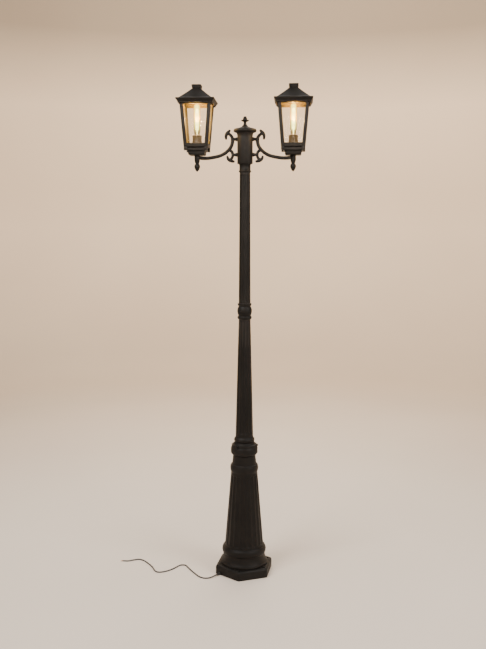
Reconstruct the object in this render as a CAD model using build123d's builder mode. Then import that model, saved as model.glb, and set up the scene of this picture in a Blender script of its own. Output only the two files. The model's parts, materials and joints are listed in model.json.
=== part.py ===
from build123d import *

import os
from math import cos, pi, radians, sin, sqrt, tan

# Street lamp post: a cast fluted column on a hexagonal foot, with two square lanterns on scroll arms.
# Millimetres. The origin is the centre of the foot's underside, +Z is up and the arms lie along X.
# Bodies: post (fixed), head (turns on the post), lantern (turns on its arm), roof (lifts off its
# lantern) and bulb (unscrews from its holder).

# ---- driving dimensions --------------------------------------------------------------------------
# hexagonal foot
HEX_R = 144.0                  # centre to corner
PLATE_H = 44.0
PLATE_WALL = 8.0
PLATE_CHAMFER = 4.0
FRONT_CORNER = -96.7           # direction of the front corner, degrees from +X
ANCHOR_PCD = 244.0
ANCHOR_HOLE_R = 5.5
ANCHOR_BOSS_WALL = 3.0
LEAD_HOLE = (-36.0, 0.0)        # where the lead comes up through the web
FOOT_BOLT_PCD = 176.0

# column, by height
RING_BASE_Z = 90.0             # big round moulding at the foot of the fluted cone
CONE_Z0, CONE_Z1 = 124.0, 478.0
CONE_R0, CONE_R1 = 91.0, 62.0
CONE_FLUTES = 20
NECK_Z0, NECK_Z1 = 521.0, 600.0
COLLAR_Z0, COLLAR_Z1 = 569.0, 628.0
COLLAR_R = 63.2
LOWER_Z0, LOWER_Z1 = 660.0, 1222.0
LOWER_R0, LOWER_R1 = 40.8, 26.6
COUPLING_Z1 = 1297.0
UPPER_Z1 = 1904.0
UPPER_R0, UPPER_R1 = 26.6, 23.3
SHAFT_FLUTES = 12
SHAFT_WALL = 4.0
FERRULE_Z1 = 1946.8
JOINER_R = 20.0
SPIGOT_R = 17.8                # tube at the top of the post that the head turns on
SPIGOT_Z1 = 2040.0

# head
HUB_Z0, HUB_Z1 = 1947.3, 2084.0
HUB_R = 35.5
HUB_ROOM_R = 30.0
HUB_SLEEVE_Z1 = 2000.0
BEARING_GAP = 0.05
CAP_R = 51.0
FINIAL_Z0 = 2112.0
BOLT_ZS = (2055.0, 1985.0)     # heights of the two arm bolts
ARM_BAR_R = 7.0
ARM_STEM_X = 57.0
LANTERN_X = 221.0
SOCKET_Z0, SOCKET_Z1 = 1948.0, 1982.6
SOCKET_R = 12.5
NIPPLE_R = 5.0

# lantern, each a square of half-width w at height z
LAMP_BASE_Z0, LAMP_BASE_Z1 = 1983.0, 2018.0
CAGE_Z0, CAGE_Z1 = 2018.0, 2218.0
CAGE_W0, CAGE_W1 = 54.0, 70.5
CAGE_WALL = 4.0
POST_WIDTH = 14.0
WINDOW_Z0, WINDOW_Z1 = 2034.0, 2206.0
FOOT_DROP = 16.0               # the posts reach this far below the cage's floor, round the base block
FOOT_INNER, FOOT_OUTER = 47.7, 53.7
GLASS_T = 3.0
HOLDER_Z0, HOLDER_Z1 = 2022.0, 2072.0
HOLDER_R = 22.0
BULB_R = 15.0
BULB_TOP = 2217.0
SKIRT_Z0, SKIRT_Z1 = 2210.0, 2230.0
SKIRT_W0, SKIRT_W1 = 77.6, 87.5
PYRAMID_Z1 = 2281.0
PYRAMID_W0, PYRAMID_W1 = 75.0, 19.5
ROOF_SHEET = 2.6
ROOF_ROOM_W = 63.5              # half-width of the opening inside the roof's locating frame
ROOF_CAP_Z1 = 2300.0
ROOF_CAP_W = 22.0
ROOF_GAP = 0.3                 # between the cage's top rail and the roof frame that rests on it

# supply cord
CORD_R = 3.0
CORD_EXIT_Z = 6.8
CORD_LIE_Z = 3.1
RELIEF_FROM_CORNER = 24.0
RELIEF_LENGTH = 20.0

os.makedirs("parts", exist_ok=True)


def keep(part, name):
    """Label a finished piece and write it as its own file."""
    part.label = name
    export_step(part, f"parts/{name}.step")


def turned(start, *steps):
    """A turned piece. The outline runs through (radius, height) points; a step of four numbers is an
    arc, given by its middle and its end."""
    with BuildPart() as piece:
        with BuildSketch(Plane.XZ):
            with BuildLine():
                here = start
                for step in steps:
                    if len(step) == 2:
                        Line(here, step)
                    else:
                        ThreePointArc(here, step[:2], step[2:])
                    here = step[-2:]
                Line(here, start)
            make_face()
        revolve(axis=Axis.Z)
    return piece.part


def flute_bar(r0, z0, r1, z1, count, share, depth):
    """The tapered bar that one flute is cut with: it lies along the surface of a taper."""
    with BuildPart() as bar:
        for r, z in ((r0, z0), (r1, z1)):
            width = share * 2 * pi * r / count
            bar_r = (width * width / 4 + depth * depth) / (2 * depth)
            with BuildSketch(Plane.XY.offset(z)):
                with Locations((r + bar_r - depth, 0)):
                    Circle(bar_r)
        loft(ruled=True)
    return bar.part


def square_frustum(z0, w0, z1, w1):
    """A square block that tapers from half-width w0 at z0 to w1 at z1."""
    with BuildPart() as block:
        for z, w in ((z0, w0), (z1, w1)):
            with BuildSketch(Plane.XY.offset(z)):
                Rectangle(2 * w, 2 * w)
        loft(ruled=True)
    return block.part


def radial_screws(radius, inner, outer, z, count, first_angle, head_r=0.0, head_t=0.0):
    """Identical screws that point at the Z axis, each its own solid."""
    with BuildPart() as screws:
        with PolarLocations(0, count, start_angle=first_angle):
            with Locations(Location((inner, 0, z), (0, 90, 0))):
                Cylinder(radius, outer - inner, align=(Align.CENTER, Align.CENTER, Align.MIN))
            if head_t:
                with Locations(Location((outer, 0, z), (0, 90, 0))):
                    Cylinder(head_r, head_t, align=(Align.CENTER, Align.CENTER, Align.MIN))
    return screws.part


# ---- foot ----------------------------------------------------------------------------------------
web_z = PLATE_H - PLATE_WALL
wall_normal = FRONT_CORNER - 30.0       # outward direction of the side left of the front corner
left_corner = Vector(HEX_R, 0).rotate(Axis.Z, FRONT_CORNER - 60.0)
front_corner = Vector(HEX_R, 0).rotate(Axis.Z, FRONT_CORNER)
along_side = (front_corner - left_corner).normalized()
out_of_side = Vector(1, 0).rotate(Axis.Z, wall_normal)
cord_exit = left_corner + along_side * RELIEF_FROM_CORNER + Vector(0, 0, CORD_EXIT_Z)
exit_plane = Plane(origin=cord_exit, x_dir=along_side, z_dir=out_of_side)

with BuildPart() as base_plate:
    with BuildSketch(Plane.XY):
        RegularPolygon(HEX_R, 6, rotation=FRONT_CORNER)
    extrude(amount=PLATE_H)
    chamfer(base_plate.faces().sort_by(Axis.Z)[-1].edges(), PLATE_CHAMFER)
    with BuildSketch(Plane.XY):
        RegularPolygon(HEX_R - PLATE_WALL / cos(pi / 6), 6, rotation=FRONT_CORNER)
    extrude(amount=web_z, mode=Mode.SUBTRACT)
    with BuildSketch(Plane.XY):
        with PolarLocations(ANCHOR_PCD / 2, 6, start_angle=FRONT_CORNER):
            Circle(ANCHOR_HOLE_R + ANCHOR_BOSS_WALL)
    extrude(amount=web_z)
    with BuildSketch(Plane.XY):
        with PolarLocations(ANCHOR_PCD / 2, 6, start_angle=FRONT_CORNER):
            Circle(ANCHOR_HOLE_R)
        with PolarLocations(FOOT_BOLT_PCD / 2, 4, start_angle=45):
            Circle(4.0)
        with Locations(LEAD_HOLE):
            Circle(6.0)
    extrude(amount=PLATE_H, mode=Mode.SUBTRACT)
    with BuildSketch(exit_plane):
        Circle(5.0)
    extrude(amount=-2 * PLATE_WALL, mode=Mode.SUBTRACT)
keep(base_plate.part, "base_plate")

# shank through the plate's web and the column's foot flange, hexagon head below and nut above
with BuildPart() as foot_bolts:
    for z0, z1, across in ((web_z - 5.3, web_z, 13.0), (PLATE_H + 8.0, PLATE_H + 14.5, 13.0)):
        with BuildSketch(Plane.XY.offset(z0)):
            with PolarLocations(FOOT_BOLT_PCD / 2, 4, start_angle=45):
                RegularPolygon(across / sqrt(3), 6)
        extrude(amount=z1 - z0)
    with BuildSketch(Plane.XY.offset(web_z - 5.3)):
        with PolarLocations(FOOT_BOLT_PCD / 2, 4, start_angle=45):
            Circle(4.0)
    extrude(amount=27.0)
keep(foot_bolts.part, "foot_bolts")

# ---- fluted cone with its bell foot, mouldings and neck: one hollow casting -----------------------
cone_wall = 5.0
cone_shell = turned(
    (76, PLATE_H), (111.5, PLATE_H), (111.5, PLATE_H + 5), (103.5, 64, 98.5, 88), (99, RING_BASE_Z),
    (104, 106, 99, 122), (CONE_R0 + 2, CONE_Z0), (CONE_R0, CONE_Z0 + 4), (CONE_R1, CONE_Z1),
    (CONE_R1, 485), (65.5, 503, CONE_R1, NECK_Z0), (56.6, NECK_Z0 + 1), (51.5, 566), (50, 568), (50, NECK_Z1),
    (44, NECK_Z1), (44, 530), (CONE_R1 - cone_wall, 470), (CONE_R0 - cone_wall, 130),
    (91, 96), (102, PLATE_H + 8), (76, PLATE_H + 8))
with BuildPart() as fluted_cone:
    add(cone_shell)
    cone_flute = flute_bar(CONE_R0 - 0.6, CONE_Z0 + 12, CONE_R1 + 0.7, CONE_Z1 - 10, CONE_FLUTES, 0.7, 2.4)
    with PolarLocations(0, CONE_FLUTES):
        add(cone_flute, mode=Mode.SUBTRACT)
    with BuildSketch(Plane.XY.offset(PLATE_H)):
        with PolarLocations(FOOT_BOLT_PCD / 2, 4, start_angle=45):
            Circle(4.0)
    extrude(amount=8.0, mode=Mode.SUBTRACT)
keep(fluted_cone.part, "fluted_cone")

# ---- clamp collar that holds the lower shaft ------------------------------------------------------
collar_screw_z = 612.0
collar_screw_angle = -118.0
collar_screw_r = 4.0
with BuildPart() as clamp_collar:
    add(turned((50.0, COLLAR_Z0), (58, COLLAR_Z0), (COLLAR_R, 577), (COLLAR_R, 602), (59.5, 608),
               (59.5, 617), (47, 626), (47, COLLAR_Z1), (38, COLLAR_Z1), (38, NECK_Z1), (50, NECK_Z1)))
    with PolarLocations(0, 3, start_angle=collar_screw_angle):
        with Locations(Location((30, 0, collar_screw_z), (0, 90, 0))):
            Cylinder(collar_screw_r, 60, align=(Align.CENTER, Align.CENTER, Align.MIN),
                     mode=Mode.SUBTRACT)
keep(clamp_collar.part, "clamp_collar")
keep(radial_screws(collar_screw_r, 38.0, 60.5, collar_screw_z, 3, collar_screw_angle, 5.5, 4.0), "collar_screws")


# ---- shafts ---------------------------------------------------------------------------------------
def fluted_shaft(shell, r0, z0, r1, z1):
    """A hollow tapered shaft with its flutes cut between z0 and z1."""
    with BuildPart() as shaft:
        add(shell)
        flute = flute_bar(r0, z0, r1, z1, SHAFT_FLUTES, 0.72, 1.7)
        with PolarLocations(0, SHAFT_FLUTES, start_angle=15):
            add(flute, mode=Mode.SUBTRACT)
    return shaft.part


# the lower shaft's plain plug goes down through the collar into the cone's neck
lower_shell = turned(
    (34, 530), (38, 530), (38, COLLAR_Z1), (45, COLLAR_Z1), (48, 638, 45, 649), (LOWER_R0 + 1.5, 651),
    (LOWER_R0, LOWER_Z0), (LOWER_R1, LOWER_Z1), (JOINER_R, LOWER_Z1), (JOINER_R, LOWER_Z1 - 70),
    (LOWER_R0 - SHAFT_WALL - 1, LOWER_Z0), (34, COLLAR_Z1))
keep(fluted_shaft(lower_shell, LOWER_R0 - 0.6, LOWER_Z0 + 16, LOWER_R1 + 0.4, LOWER_Z1 - 14), "lower_shaft")

coupling_screw_z = 1261.0
with BuildPart() as shaft_coupling:
    add(turned((JOINER_R, LOWER_Z1), (29, LOWER_Z1), (31.6, 1230, 29, 1238), (28.4, 1240),
               (32.8, 1260, 28.4, 1281), (27.2, 1284), (30.6, 1291), (30, COUPLING_Z1),
               (JOINER_R, COUPLING_Z1)))
    with PolarLocations(0, 2, start_angle=60):
        with Locations(Location((JOINER_R - 2, 0, coupling_screw_z), (0, 90, 0))):
            Cylinder(3.0, 20, align=(Align.CENTER, Align.CENTER, Align.MIN), mode=Mode.SUBTRACT)
keep(shaft_coupling.part, "shaft_coupling")
keep(radial_screws(3.0, JOINER_R, 31.8, coupling_screw_z, 2, 60), "coupling_screws")
keep(turned((JOINER_R - 3, LOWER_Z1 - 70), (JOINER_R, LOWER_Z1 - 70), (JOINER_R, COUPLING_Z1 + 70),
            (JOINER_R - 3, COUPLING_Z1 + 70)), "shaft_joiner")

upper_shell = turned(
    (JOINER_R, COUPLING_Z1), (UPPER_R0, COUPLING_Z1), (UPPER_R1, UPPER_Z1), (SPIGOT_R, UPPER_Z1),
    (SPIGOT_R, UPPER_Z1 - 70), (JOINER_R, COUPLING_Z1 + 70))
keep(fluted_shaft(upper_shell, UPPER_R0 - 0.1, COUPLING_Z1 + 14, UPPER_R1 + 0.1, UPPER_Z1 - 14), "upper_shaft")

keep(turned((SPIGOT_R, UPPER_Z1), (25.7, UPPER_Z1), (28.4, 1909, 25.7, 1914), (26.4, 1916), (25.8, 1936),
            (27.2, 1940), (27.2, FERRULE_Z1), (SPIGOT_R, FERRULE_Z1)), "top_ferrule")
keep(turned((SPIGOT_R - 3, UPPER_Z1 - 70), (SPIGOT_R, UPPER_Z1 - 70), (SPIGOT_R, SPIGOT_Z1),
            (SPIGOT_R - 3, SPIGOT_Z1)), "post_spigot")

# ---- wiring inside the post -----------------------------------------------------------------------
terminal_block_length = 44.0
with BuildPart() as foot_terminal_block:
    with Locations((0, 0, PLATE_H)):
        Box(terminal_block_length, 18, 17, align=(Align.CENTER, Align.CENTER, Align.MIN))
keep(foot_terminal_block.part, "foot_terminal_block")

# lead from the strain relief, under the web and up through its hole to the terminal block
lead_in_r = 2.9
lead_start = cord_exit - out_of_side * (PLATE_WALL + 4.0)
lead_in_points = [lead_start, lead_start - out_of_side * 26, Vector(*LEAD_HOLE, 12),
                  Vector(*LEAD_HOLE, 53), Vector(-terminal_block_length / 2, 0, 53)]
with BuildPart() as lead_in:
    with BuildLine() as lead_path:
        FilletPolyline(*lead_in_points, radius=5.5)
    with BuildSketch(Plane(origin=lead_start, z_dir=-out_of_side)):
        Circle(lead_in_r)
    sweep(path=lead_path.line)
keep(lead_in.part, "lead_in")

with BuildPart() as riser_cable:
    with Locations((0, 0, PLATE_H + 17)):
        Cylinder(3.2, SPIGOT_Z1 - 4 - PLATE_H - 17, align=(Align.CENTER, Align.CENTER, Align.MIN))
keep(riser_cable.part, "riser_cable")

with BuildPart() as earth_screw:
    with Locations((34, 26, PLATE_H)):
        Cylinder(5.5, 1.5, align=(Align.CENTER, Align.CENTER, Align.MIN))
        Cylinder(4.2, 4.5, align=(Align.CENTER, Align.CENTER, Align.MIN))
keep(earth_screw.part, "earth_screw")

# ---- strain relief and supply cord ----------------------------------------------------------------
with BuildPart() as cord_relief:
    with BuildSketch(exit_plane):
        Circle(6.2)
    with BuildSketch(exit_plane.offset(RELIEF_LENGTH)):
        Circle(CORD_R + 1.2)
    loft(ruled=True)
    with BuildSketch(exit_plane.offset(-PLATE_WALL)):
        Circle(5.0)
    extrude(amount=PLATE_WALL)
    with BuildSketch(exit_plane.offset(-PLATE_WALL - 4)):
        Circle(6.6)
    extrude(amount=4.0)
keep(cord_relief.part, "cord_relief")

# hand-chosen route: out of the relief, down to the floor and away in loose bends
cord_start = cord_exit + out_of_side * RELIEF_LENGTH
cord_route = [
    cord_start, cord_start + out_of_side * 20, Vector(-159, -119, CORD_LIE_Z),
    Vector(-185, -121, CORD_LIE_Z), Vector(-209, -104, CORD_LIE_Z), Vector(-228, -77, CORD_LIE_Z),
    Vector(-251, -43, CORD_LIE_Z), Vector(-276, -2, CORD_LIE_Z),
    Vector(-290, 24, CORD_LIE_Z), Vector(-317, 22, CORD_LIE_Z), Vector(-334, -10, CORD_LIE_Z),
    Vector(-356, -42, CORD_LIE_Z), Vector(-382, -62, CORD_LIE_Z), Vector(-409, -73, CORD_LIE_Z),
    Vector(-430, -56, CORD_LIE_Z), Vector(-443, -22, CORD_LIE_Z), Vector(-466, 15, CORD_LIE_Z),
    Vector(-502, 60, CORD_LIE_Z), Vector(-532, 78, CORD_LIE_Z), Vector(-562, 61, CORD_LIE_Z),
    Vector(-586, 47, CORD_LIE_Z), Vector(-607, 51, CORD_LIE_Z)]
bend_radii = []
for before, corner, after in zip(cord_route, cord_route[1:], cord_route[2:]):
    arriving, leaving = corner - before, after - corner
    half_turn = radians(arriving.get_angle(leaving)) / 2
    bend_radii.append(0.45 * min(arriving.length, leaving.length) / tan(half_turn))
with BuildPart() as supply_cord:
    with BuildLine() as cord_path:
        FilletPolyline(*cord_route, radius=bend_radii)
    with BuildSketch(Plane(origin=cord_start, z_dir=cord_route[1] - cord_start)):
        Circle(CORD_R)
    sweep(path=cord_path.line)
keep(supply_cord.part, "supply_cord")
cord_length = sum(edge.length for edge in cord_path.edges())
print("cord bend radii", [round(radius, 1) for radius in bend_radii])
print("cord length", round(cord_length, 1), "tube volume / (section x length)",
      round(supply_cord.part.volume / (pi * CORD_R**2 * cord_length), 4))

# two bare cores that fork out of the cord's cut end
cord_end = cord_route[-1]
end_heading = (cord_route[-1] - cord_route[-2]).normalized()
with BuildPart() as cord_cores:
    for spread, length in ((14.0, 15.0), (-16.0, 12.0)):
        side = end_heading.rotate(Axis.Z, 90) * (1.4 if spread > 0 else -1.4)
        core_start = cord_end + side + end_heading * 0.4
        core_heading = end_heading.rotate(Axis.Z, spread) - Vector(0, 0, 0.06)
        with BuildSketch(Plane(origin=core_start, z_dir=core_heading)):
            Circle(1.2)
        extrude(amount=length)
keep(cord_cores.part, "cord_cores")

# ---- hub ------------------------------------------------------------------------------------------
sleeve_r = SPIGOT_R + BEARING_GAP
hub_screw_z = 1962.0
with BuildPart() as hub:
    add(turned((sleeve_r, HUB_Z0), (HUB_R - 1, HUB_Z0), (HUB_R, HUB_Z0 + 2), (HUB_R, 2068),
               (36.2, 2077, 40, HUB_Z1), (HUB_ROOM_R, HUB_Z1), (HUB_ROOM_R, HUB_SLEEVE_Z1),
               (sleeve_r, HUB_SLEEVE_Z1)))
    for z in BOLT_ZS:
        for turn in (90, -90):
            with Locations(Location((0, 0, z), (0, turn, 0))):
                Cylinder(4.0, HUB_R + 10, align=(Align.CENTER, Align.CENTER, Align.MIN),
                         mode=Mode.SUBTRACT)
    with PolarLocations(0, 3, start_angle=90):
        with Locations(Location((10, 0, hub_screw_z), (0, 90, 0))):
            Cylinder(3.0, HUB_R, align=(Align.CENTER, Align.CENTER, Align.MIN), mode=Mode.SUBTRACT)
keep(hub.part, "hub")
keep(radial_screws(3.0, SPIGOT_R + 0.4, HUB_R - 1.0, hub_screw_z, 3, 90), "hub_set_screws")

keep(turned((0, HUB_Z1), (42, HUB_Z1), (CAP_R - 2, 2088), (CAP_R, 2093, CAP_R - 3, 2099),
            (30, 2104, 25, 2105), (24, 2109), (14, FINIAL_Z0), (0, FINIAL_Z0)), "hub_cap")
keep(turned((0, FINIAL_Z0), (14.5, FINIAL_Z0), (7.5, 2117, 5, 2125), (4.8, 2129),
            (6.6, 2132), (13.6, 2135.8), (16.2, 2138.2, 13.6, 2140.6), (7.4, 2144), (6.3, 2146),
            (7.2, 2149, 5.2, 2153), (0, 2158)), "hub_finial")

hub_block_half = 10.0
with BuildPart() as hub_terminal_block:
    with Locations((0, 10, 2030)):
        Box(2 * hub_block_half, sqrt(HUB_ROOM_R**2 - hub_block_half**2) - 10 - 0.05, 14,
            align=(Align.CENTER, Align.MIN, Align.MIN))
    with BuildSketch(Plane.XY):
        Circle(SPIGOT_R + 4)
    extrude(amount=SPIGOT_Z1 + 6, mode=Mode.SUBTRACT)
keep(hub_terminal_block.part, "hub_terminal_block")


# ---- scroll arm, made at +X and mirrored for the other side ---------------------------------------
def leaf(tip_a, middle, tip_b, hollow, depth):
    """A crescent leaf in the XZ plane: its outer edge goes through middle, its inner through hollow."""
    with BuildPart() as piece:
        with BuildSketch(Plane.XZ):
            with BuildLine():
                ThreePointArc(tip_a, middle, tip_b)
                ThreePointArc(tip_b, hollow, tip_a)
            make_face()
        extrude(amount=depth / 2, both=True)
    return piece.part


with BuildPart() as arm:
    with BuildLine() as bar_path:
        stem = Line((ARM_STEM_X, 0, 2052), (ARM_STEM_X, 0, 2046))
        shoulder = TangentArc((ARM_STEM_X, 0, 2046), (73, 0, 2010), tangent=(0, 0, -1))
        reach = TangentArc(shoulder @ 1, (164, 0, 1970.5), tangent=shoulder % 1)
        TangentArc(reach @ 1, (LANTERN_X - 9, 0, 1972), tangent=reach % 1)
    with BuildSketch(Plane(origin=bar_path.line @ 0, z_dir=bar_path.line % 0)):
        Circle(ARM_BAR_R)
    sweep(path=bar_path.line)
    with BuildLine() as volute_path:
        TangentArc((ARM_STEM_X, 0, 2050), (79, 0, 2081), tangent=(0, 0, 1))
    with BuildSketch(Plane(origin=volute_path.line @ 0, z_dir=volute_path.line % 0)):
        Circle(ARM_BAR_R - 0.5)
    sweep(path=volute_path.line)
    with BuildLine() as scroll_path:
        ThreePointArc((74, 0, 2009), (ARM_STEM_X + 0.5, 0, 1987), (69, 0, 1966))
    with BuildSketch(Plane(origin=scroll_path.line @ 0, z_dir=scroll_path.line % 0)):
        Circle(ARM_BAR_R - 1.5)
    sweep(path=scroll_path.line)
    add(leaf((69, 2096), (88, 2079), (87, 2054), (78, 2074), 10))
    add(leaf((49, 1954), (71, 1957.5), (82, 1979), (66, 1968), 10))
    for z in BOLT_ZS:
        with Locations(Location((HUB_R - 5, 0, z), (0, 90, 0))):
            Cylinder(9.0, 13.5, align=(Align.CENTER, Align.CENTER, Align.MIN))
        with Locations(Location((HUB_R + 8, 0, z), (0, 90, 0))):
            Cylinder(5.5, ARM_STEM_X - HUB_R - 8, align=(Align.CENTER, Align.CENTER, Align.MIN))
        with Locations(Location((0, 0, z), (0, 90, 0))):
            Cylinder(4.0, 46, align=(Align.CENTER, Align.CENTER, Align.MIN), mode=Mode.SUBTRACT)
    with Locations((0, 0, 1900)):
        Cylinder(HUB_R, 200, align=(Align.CENTER, Align.CENTER, Align.MIN), mode=Mode.SUBTRACT)
    with Locations((LANTERN_X, 0, 1940)):
        Cylinder(SOCKET_R, 50, align=(Align.CENTER, Align.CENTER, Align.MIN), mode=Mode.SUBTRACT)

# two studs screwed into the arm, each with a nut inside the hub where there is room for one
with BuildPart() as arm_bolts:
    for z, inner_end in zip(BOLT_ZS, (21.0, SPIGOT_R + 1.2)):
        with Locations(Location((inner_end, 0, z), (0, 90, 0))):
            Cylinder(4.0, 46 - inner_end, align=(Align.CENTER, Align.CENTER, Align.MIN))
    with BuildSketch(Plane.YZ.offset(22.5)):
        with Locations((0, BOLT_ZS[0])):
            RegularPolygon(13.0 / sqrt(3), 6)
    extrude(amount=6.4)

bead_r = SOCKET_R + 1.5
arm_socket = Location((LANTERN_X, 0, 0)) * turned(
    (NIPPLE_R + BEARING_GAP, SOCKET_Z0), (SOCKET_R - 3, SOCKET_Z0), (SOCKET_R, SOCKET_Z0 + 12),
    (SOCKET_R, SOCKET_Z1 - 3.6), (bead_r, SOCKET_Z1 - 1.8, SOCKET_R, SOCKET_Z1),
    (NIPPLE_R + BEARING_GAP, SOCKET_Z1))
drop_finial = Location((LANTERN_X, 0, 0)) * turned(
    (0, 1954), (NIPPLE_R + BEARING_GAP, 1954), (NIPPLE_R + BEARING_GAP, SOCKET_Z0), (9, SOCKET_Z0),
    (8, 1946), (12.4, 1935, 10.4, 1924), (6.8, 1916, 1.6, 1910), (0, 1909))
for side, flip in (("right", False), ("left", True)):
    for name, piece in (("arm", arm.part), ("arm_bolts", arm_bolts.part), ("arm_socket", arm_socket),
                        ("drop_finial", drop_finial)):
        keep(mirror(piece, about=Plane.YZ) if flip else piece, f"{name}_{side}")


# ---- lantern, made on the Z axis and moved out to each arm ----------------------------------------
def cage_half(z):
    """Outer half-width of the lantern's cage at height z."""
    return CAGE_W0 + (CAGE_W1 - CAGE_W0) * (z - CAGE_Z0) / (CAGE_Z1 - CAGE_Z0)


nipple = turned((3.4, SOCKET_Z0 + 8), (NIPPLE_R, SOCKET_Z0 + 8), (NIPPLE_R, 2032), (3.4, 2032))
with BuildPart() as nipple_nut:
    with BuildSketch(Plane.XY.offset(HOLDER_Z0)):
        RegularPolygon(14.0 / sqrt(3), 6)
        Circle(NIPPLE_R, mode=Mode.SUBTRACT)
    extrude(amount=5.0)

with BuildPart() as lantern_base:
    add(square_frustum(LAMP_BASE_Z0, 35.5, LAMP_BASE_Z0 + 4, 37.5))
    add(square_frustum(LAMP_BASE_Z0 + 4, 37.5, LAMP_BASE_Z0 + 13, 37.5))
    add(square_frustum(LAMP_BASE_Z0 + 13, 39, LAMP_BASE_Z0 + 19, 47.5))
    add(square_frustum(LAMP_BASE_Z0 + 19, 47.5, LAMP_BASE_Z1 - 3, 47.5))
    add(square_frustum(LAMP_BASE_Z1 - 3, 44, LAMP_BASE_Z1, 44))
    with Locations((0, 0, LAMP_BASE_Z0)):
        Cylinder(NIPPLE_R, 50, align=(Align.CENTER, Align.CENTER, Align.MIN), mode=Mode.SUBTRACT)

with BuildPart() as lantern_cage:
    add(square_frustum(CAGE_Z0, CAGE_W0, CAGE_Z1, CAGE_W1))
    add(square_frustum(CAGE_Z0 + 4, cage_half(CAGE_Z0 + 4) - CAGE_WALL, CAGE_Z1, CAGE_W1 - CAGE_WALL),
        mode=Mode.SUBTRACT)
    for plane in (Plane.XZ, Plane.YZ):
        sill = cage_half(WINDOW_Z0) - POST_WIDTH
        head = cage_half(WINDOW_Z1) - POST_WIDTH
        with BuildSketch(plane):
            with BuildLine():
                Polyline((-sill, WINDOW_Z0), (sill, WINDOW_Z0), (head, WINDOW_Z1), (-head, WINDOW_Z1),
                         close=True)
            make_face()
        extrude(amount=2 * CAGE_W1, both=True, mode=Mode.SUBTRACT)
    with BuildSketch(Plane.XY.offset(CAGE_Z0 - FOOT_DROP)):
        Rectangle(2 * FOOT_OUTER, 2 * FOOT_OUTER)
        Rectangle(2 * FOOT_INNER, 2 * FOOT_INNER, mode=Mode.SUBTRACT)
        Rectangle(2 * (FOOT_OUTER - POST_WIDTH), 3 * FOOT_OUTER, mode=Mode.SUBTRACT)
        Rectangle(3 * FOOT_OUTER, 2 * (FOOT_OUTER - POST_WIDTH), mode=Mode.SUBTRACT)
    extrude(amount=FOOT_DROP)
    with Locations((0, 0, CAGE_Z0)):
        Cylinder(NIPPLE_R, 6, align=(Align.CENTER, Align.CENTER, Align.MIN), mode=Mode.SUBTRACT)

# four slanted panes behind the windows
glass_z0, glass_z1 = CAGE_Z0 + 5, CAGE_Z1 - 6
with BuildPart() as pane:
    for z in (glass_z0, glass_z1):
        inner = cage_half(z) - CAGE_WALL
        with BuildSketch(Plane.XY.offset(z)):
            with Locations((0, -inner + GLASS_T / 2)):
                Rectangle(2 * (inner - GLASS_T) - 1, GLASS_T)
    loft(ruled=True)
with BuildPart() as lantern_glass:
    with PolarLocations(0, 4):
        add(pane.part)

lamp_holder = turned(
    (9, HOLDER_Z0), (HOLDER_R, HOLDER_Z0), (HOLDER_R, 2048), (20.5, 2052), (20.5, 2064), (21.5, 2066),
    (21.5, HOLDER_Z1), (14, HOLDER_Z1), (14, 2040), (3.4, 2040), (3.4, 2034), (9, 2034))
with BuildPart() as holder_contacts:
    add(turned((3.4, 2040), (6, 2040), (6, 2043.4), (3.4, 2043.4)))
    with Locations((13.7, 0, 2042)):
        Box(0.6, 6, 24, align=(Align.CENTER, Align.CENTER, Align.MIN))
    with Locations((0, 0, 2040)):
        Cylinder(14, 30, align=(Align.CENTER, Align.CENTER, Align.MIN), mode=Mode.INTERSECT)

# E27 bulb with a tubular glass: brass shell, glass envelope, and the stem with its glowing wires
bulb_base = turned(
    (0, 2044), (4.5, 2044), (4.5, 2046), (10, 2050), (13, 2052), (13, 2075), (12.2, 2077),
    (12.2, 2060), (0, 2060))
bulb_glass = turned(
    (11.2, 2062), (12.2, 2062), (12.2, 2078), (13, 2086), (BULB_R, 2096), (BULB_R, BULB_TOP - BULB_R),
    (BULB_R * sin(pi / 4), BULB_TOP - BULB_R * (1 - cos(pi / 4)), 0, BULB_TOP),
    (0, BULB_TOP - 1), ((BULB_R - 1) * sin(pi / 4), BULB_TOP - BULB_R + (BULB_R - 1) * cos(pi / 4),
                        BULB_R - 1, BULB_TOP - BULB_R),
    (BULB_R - 1, 2096.4), (12, 2086.4), (11.2, 2078.2))
filament_r = 6.5
with BuildPart() as bulb_filament:
    add(turned((0, 2060), (8, 2060), (3, 2072, 2.4, 2088), (2.4, 2096), (0, 2096)))
    with Locations((0, 0, 2096)):
        Cylinder(0.8, 96, align=(Align.CENTER, Align.CENTER, Align.MIN))
    with Locations((0, 0, 2098), (0, 0, 2188)):
        Cylinder(filament_r, 1.6, align=(Align.CENTER, Align.CENTER, Align.MIN))
    with BuildSketch(Plane.XY.offset(2099.0)):
        with PolarLocations(filament_r - 0.9, 6):
            Circle(0.7)
    extrude(amount=90.0)

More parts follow.
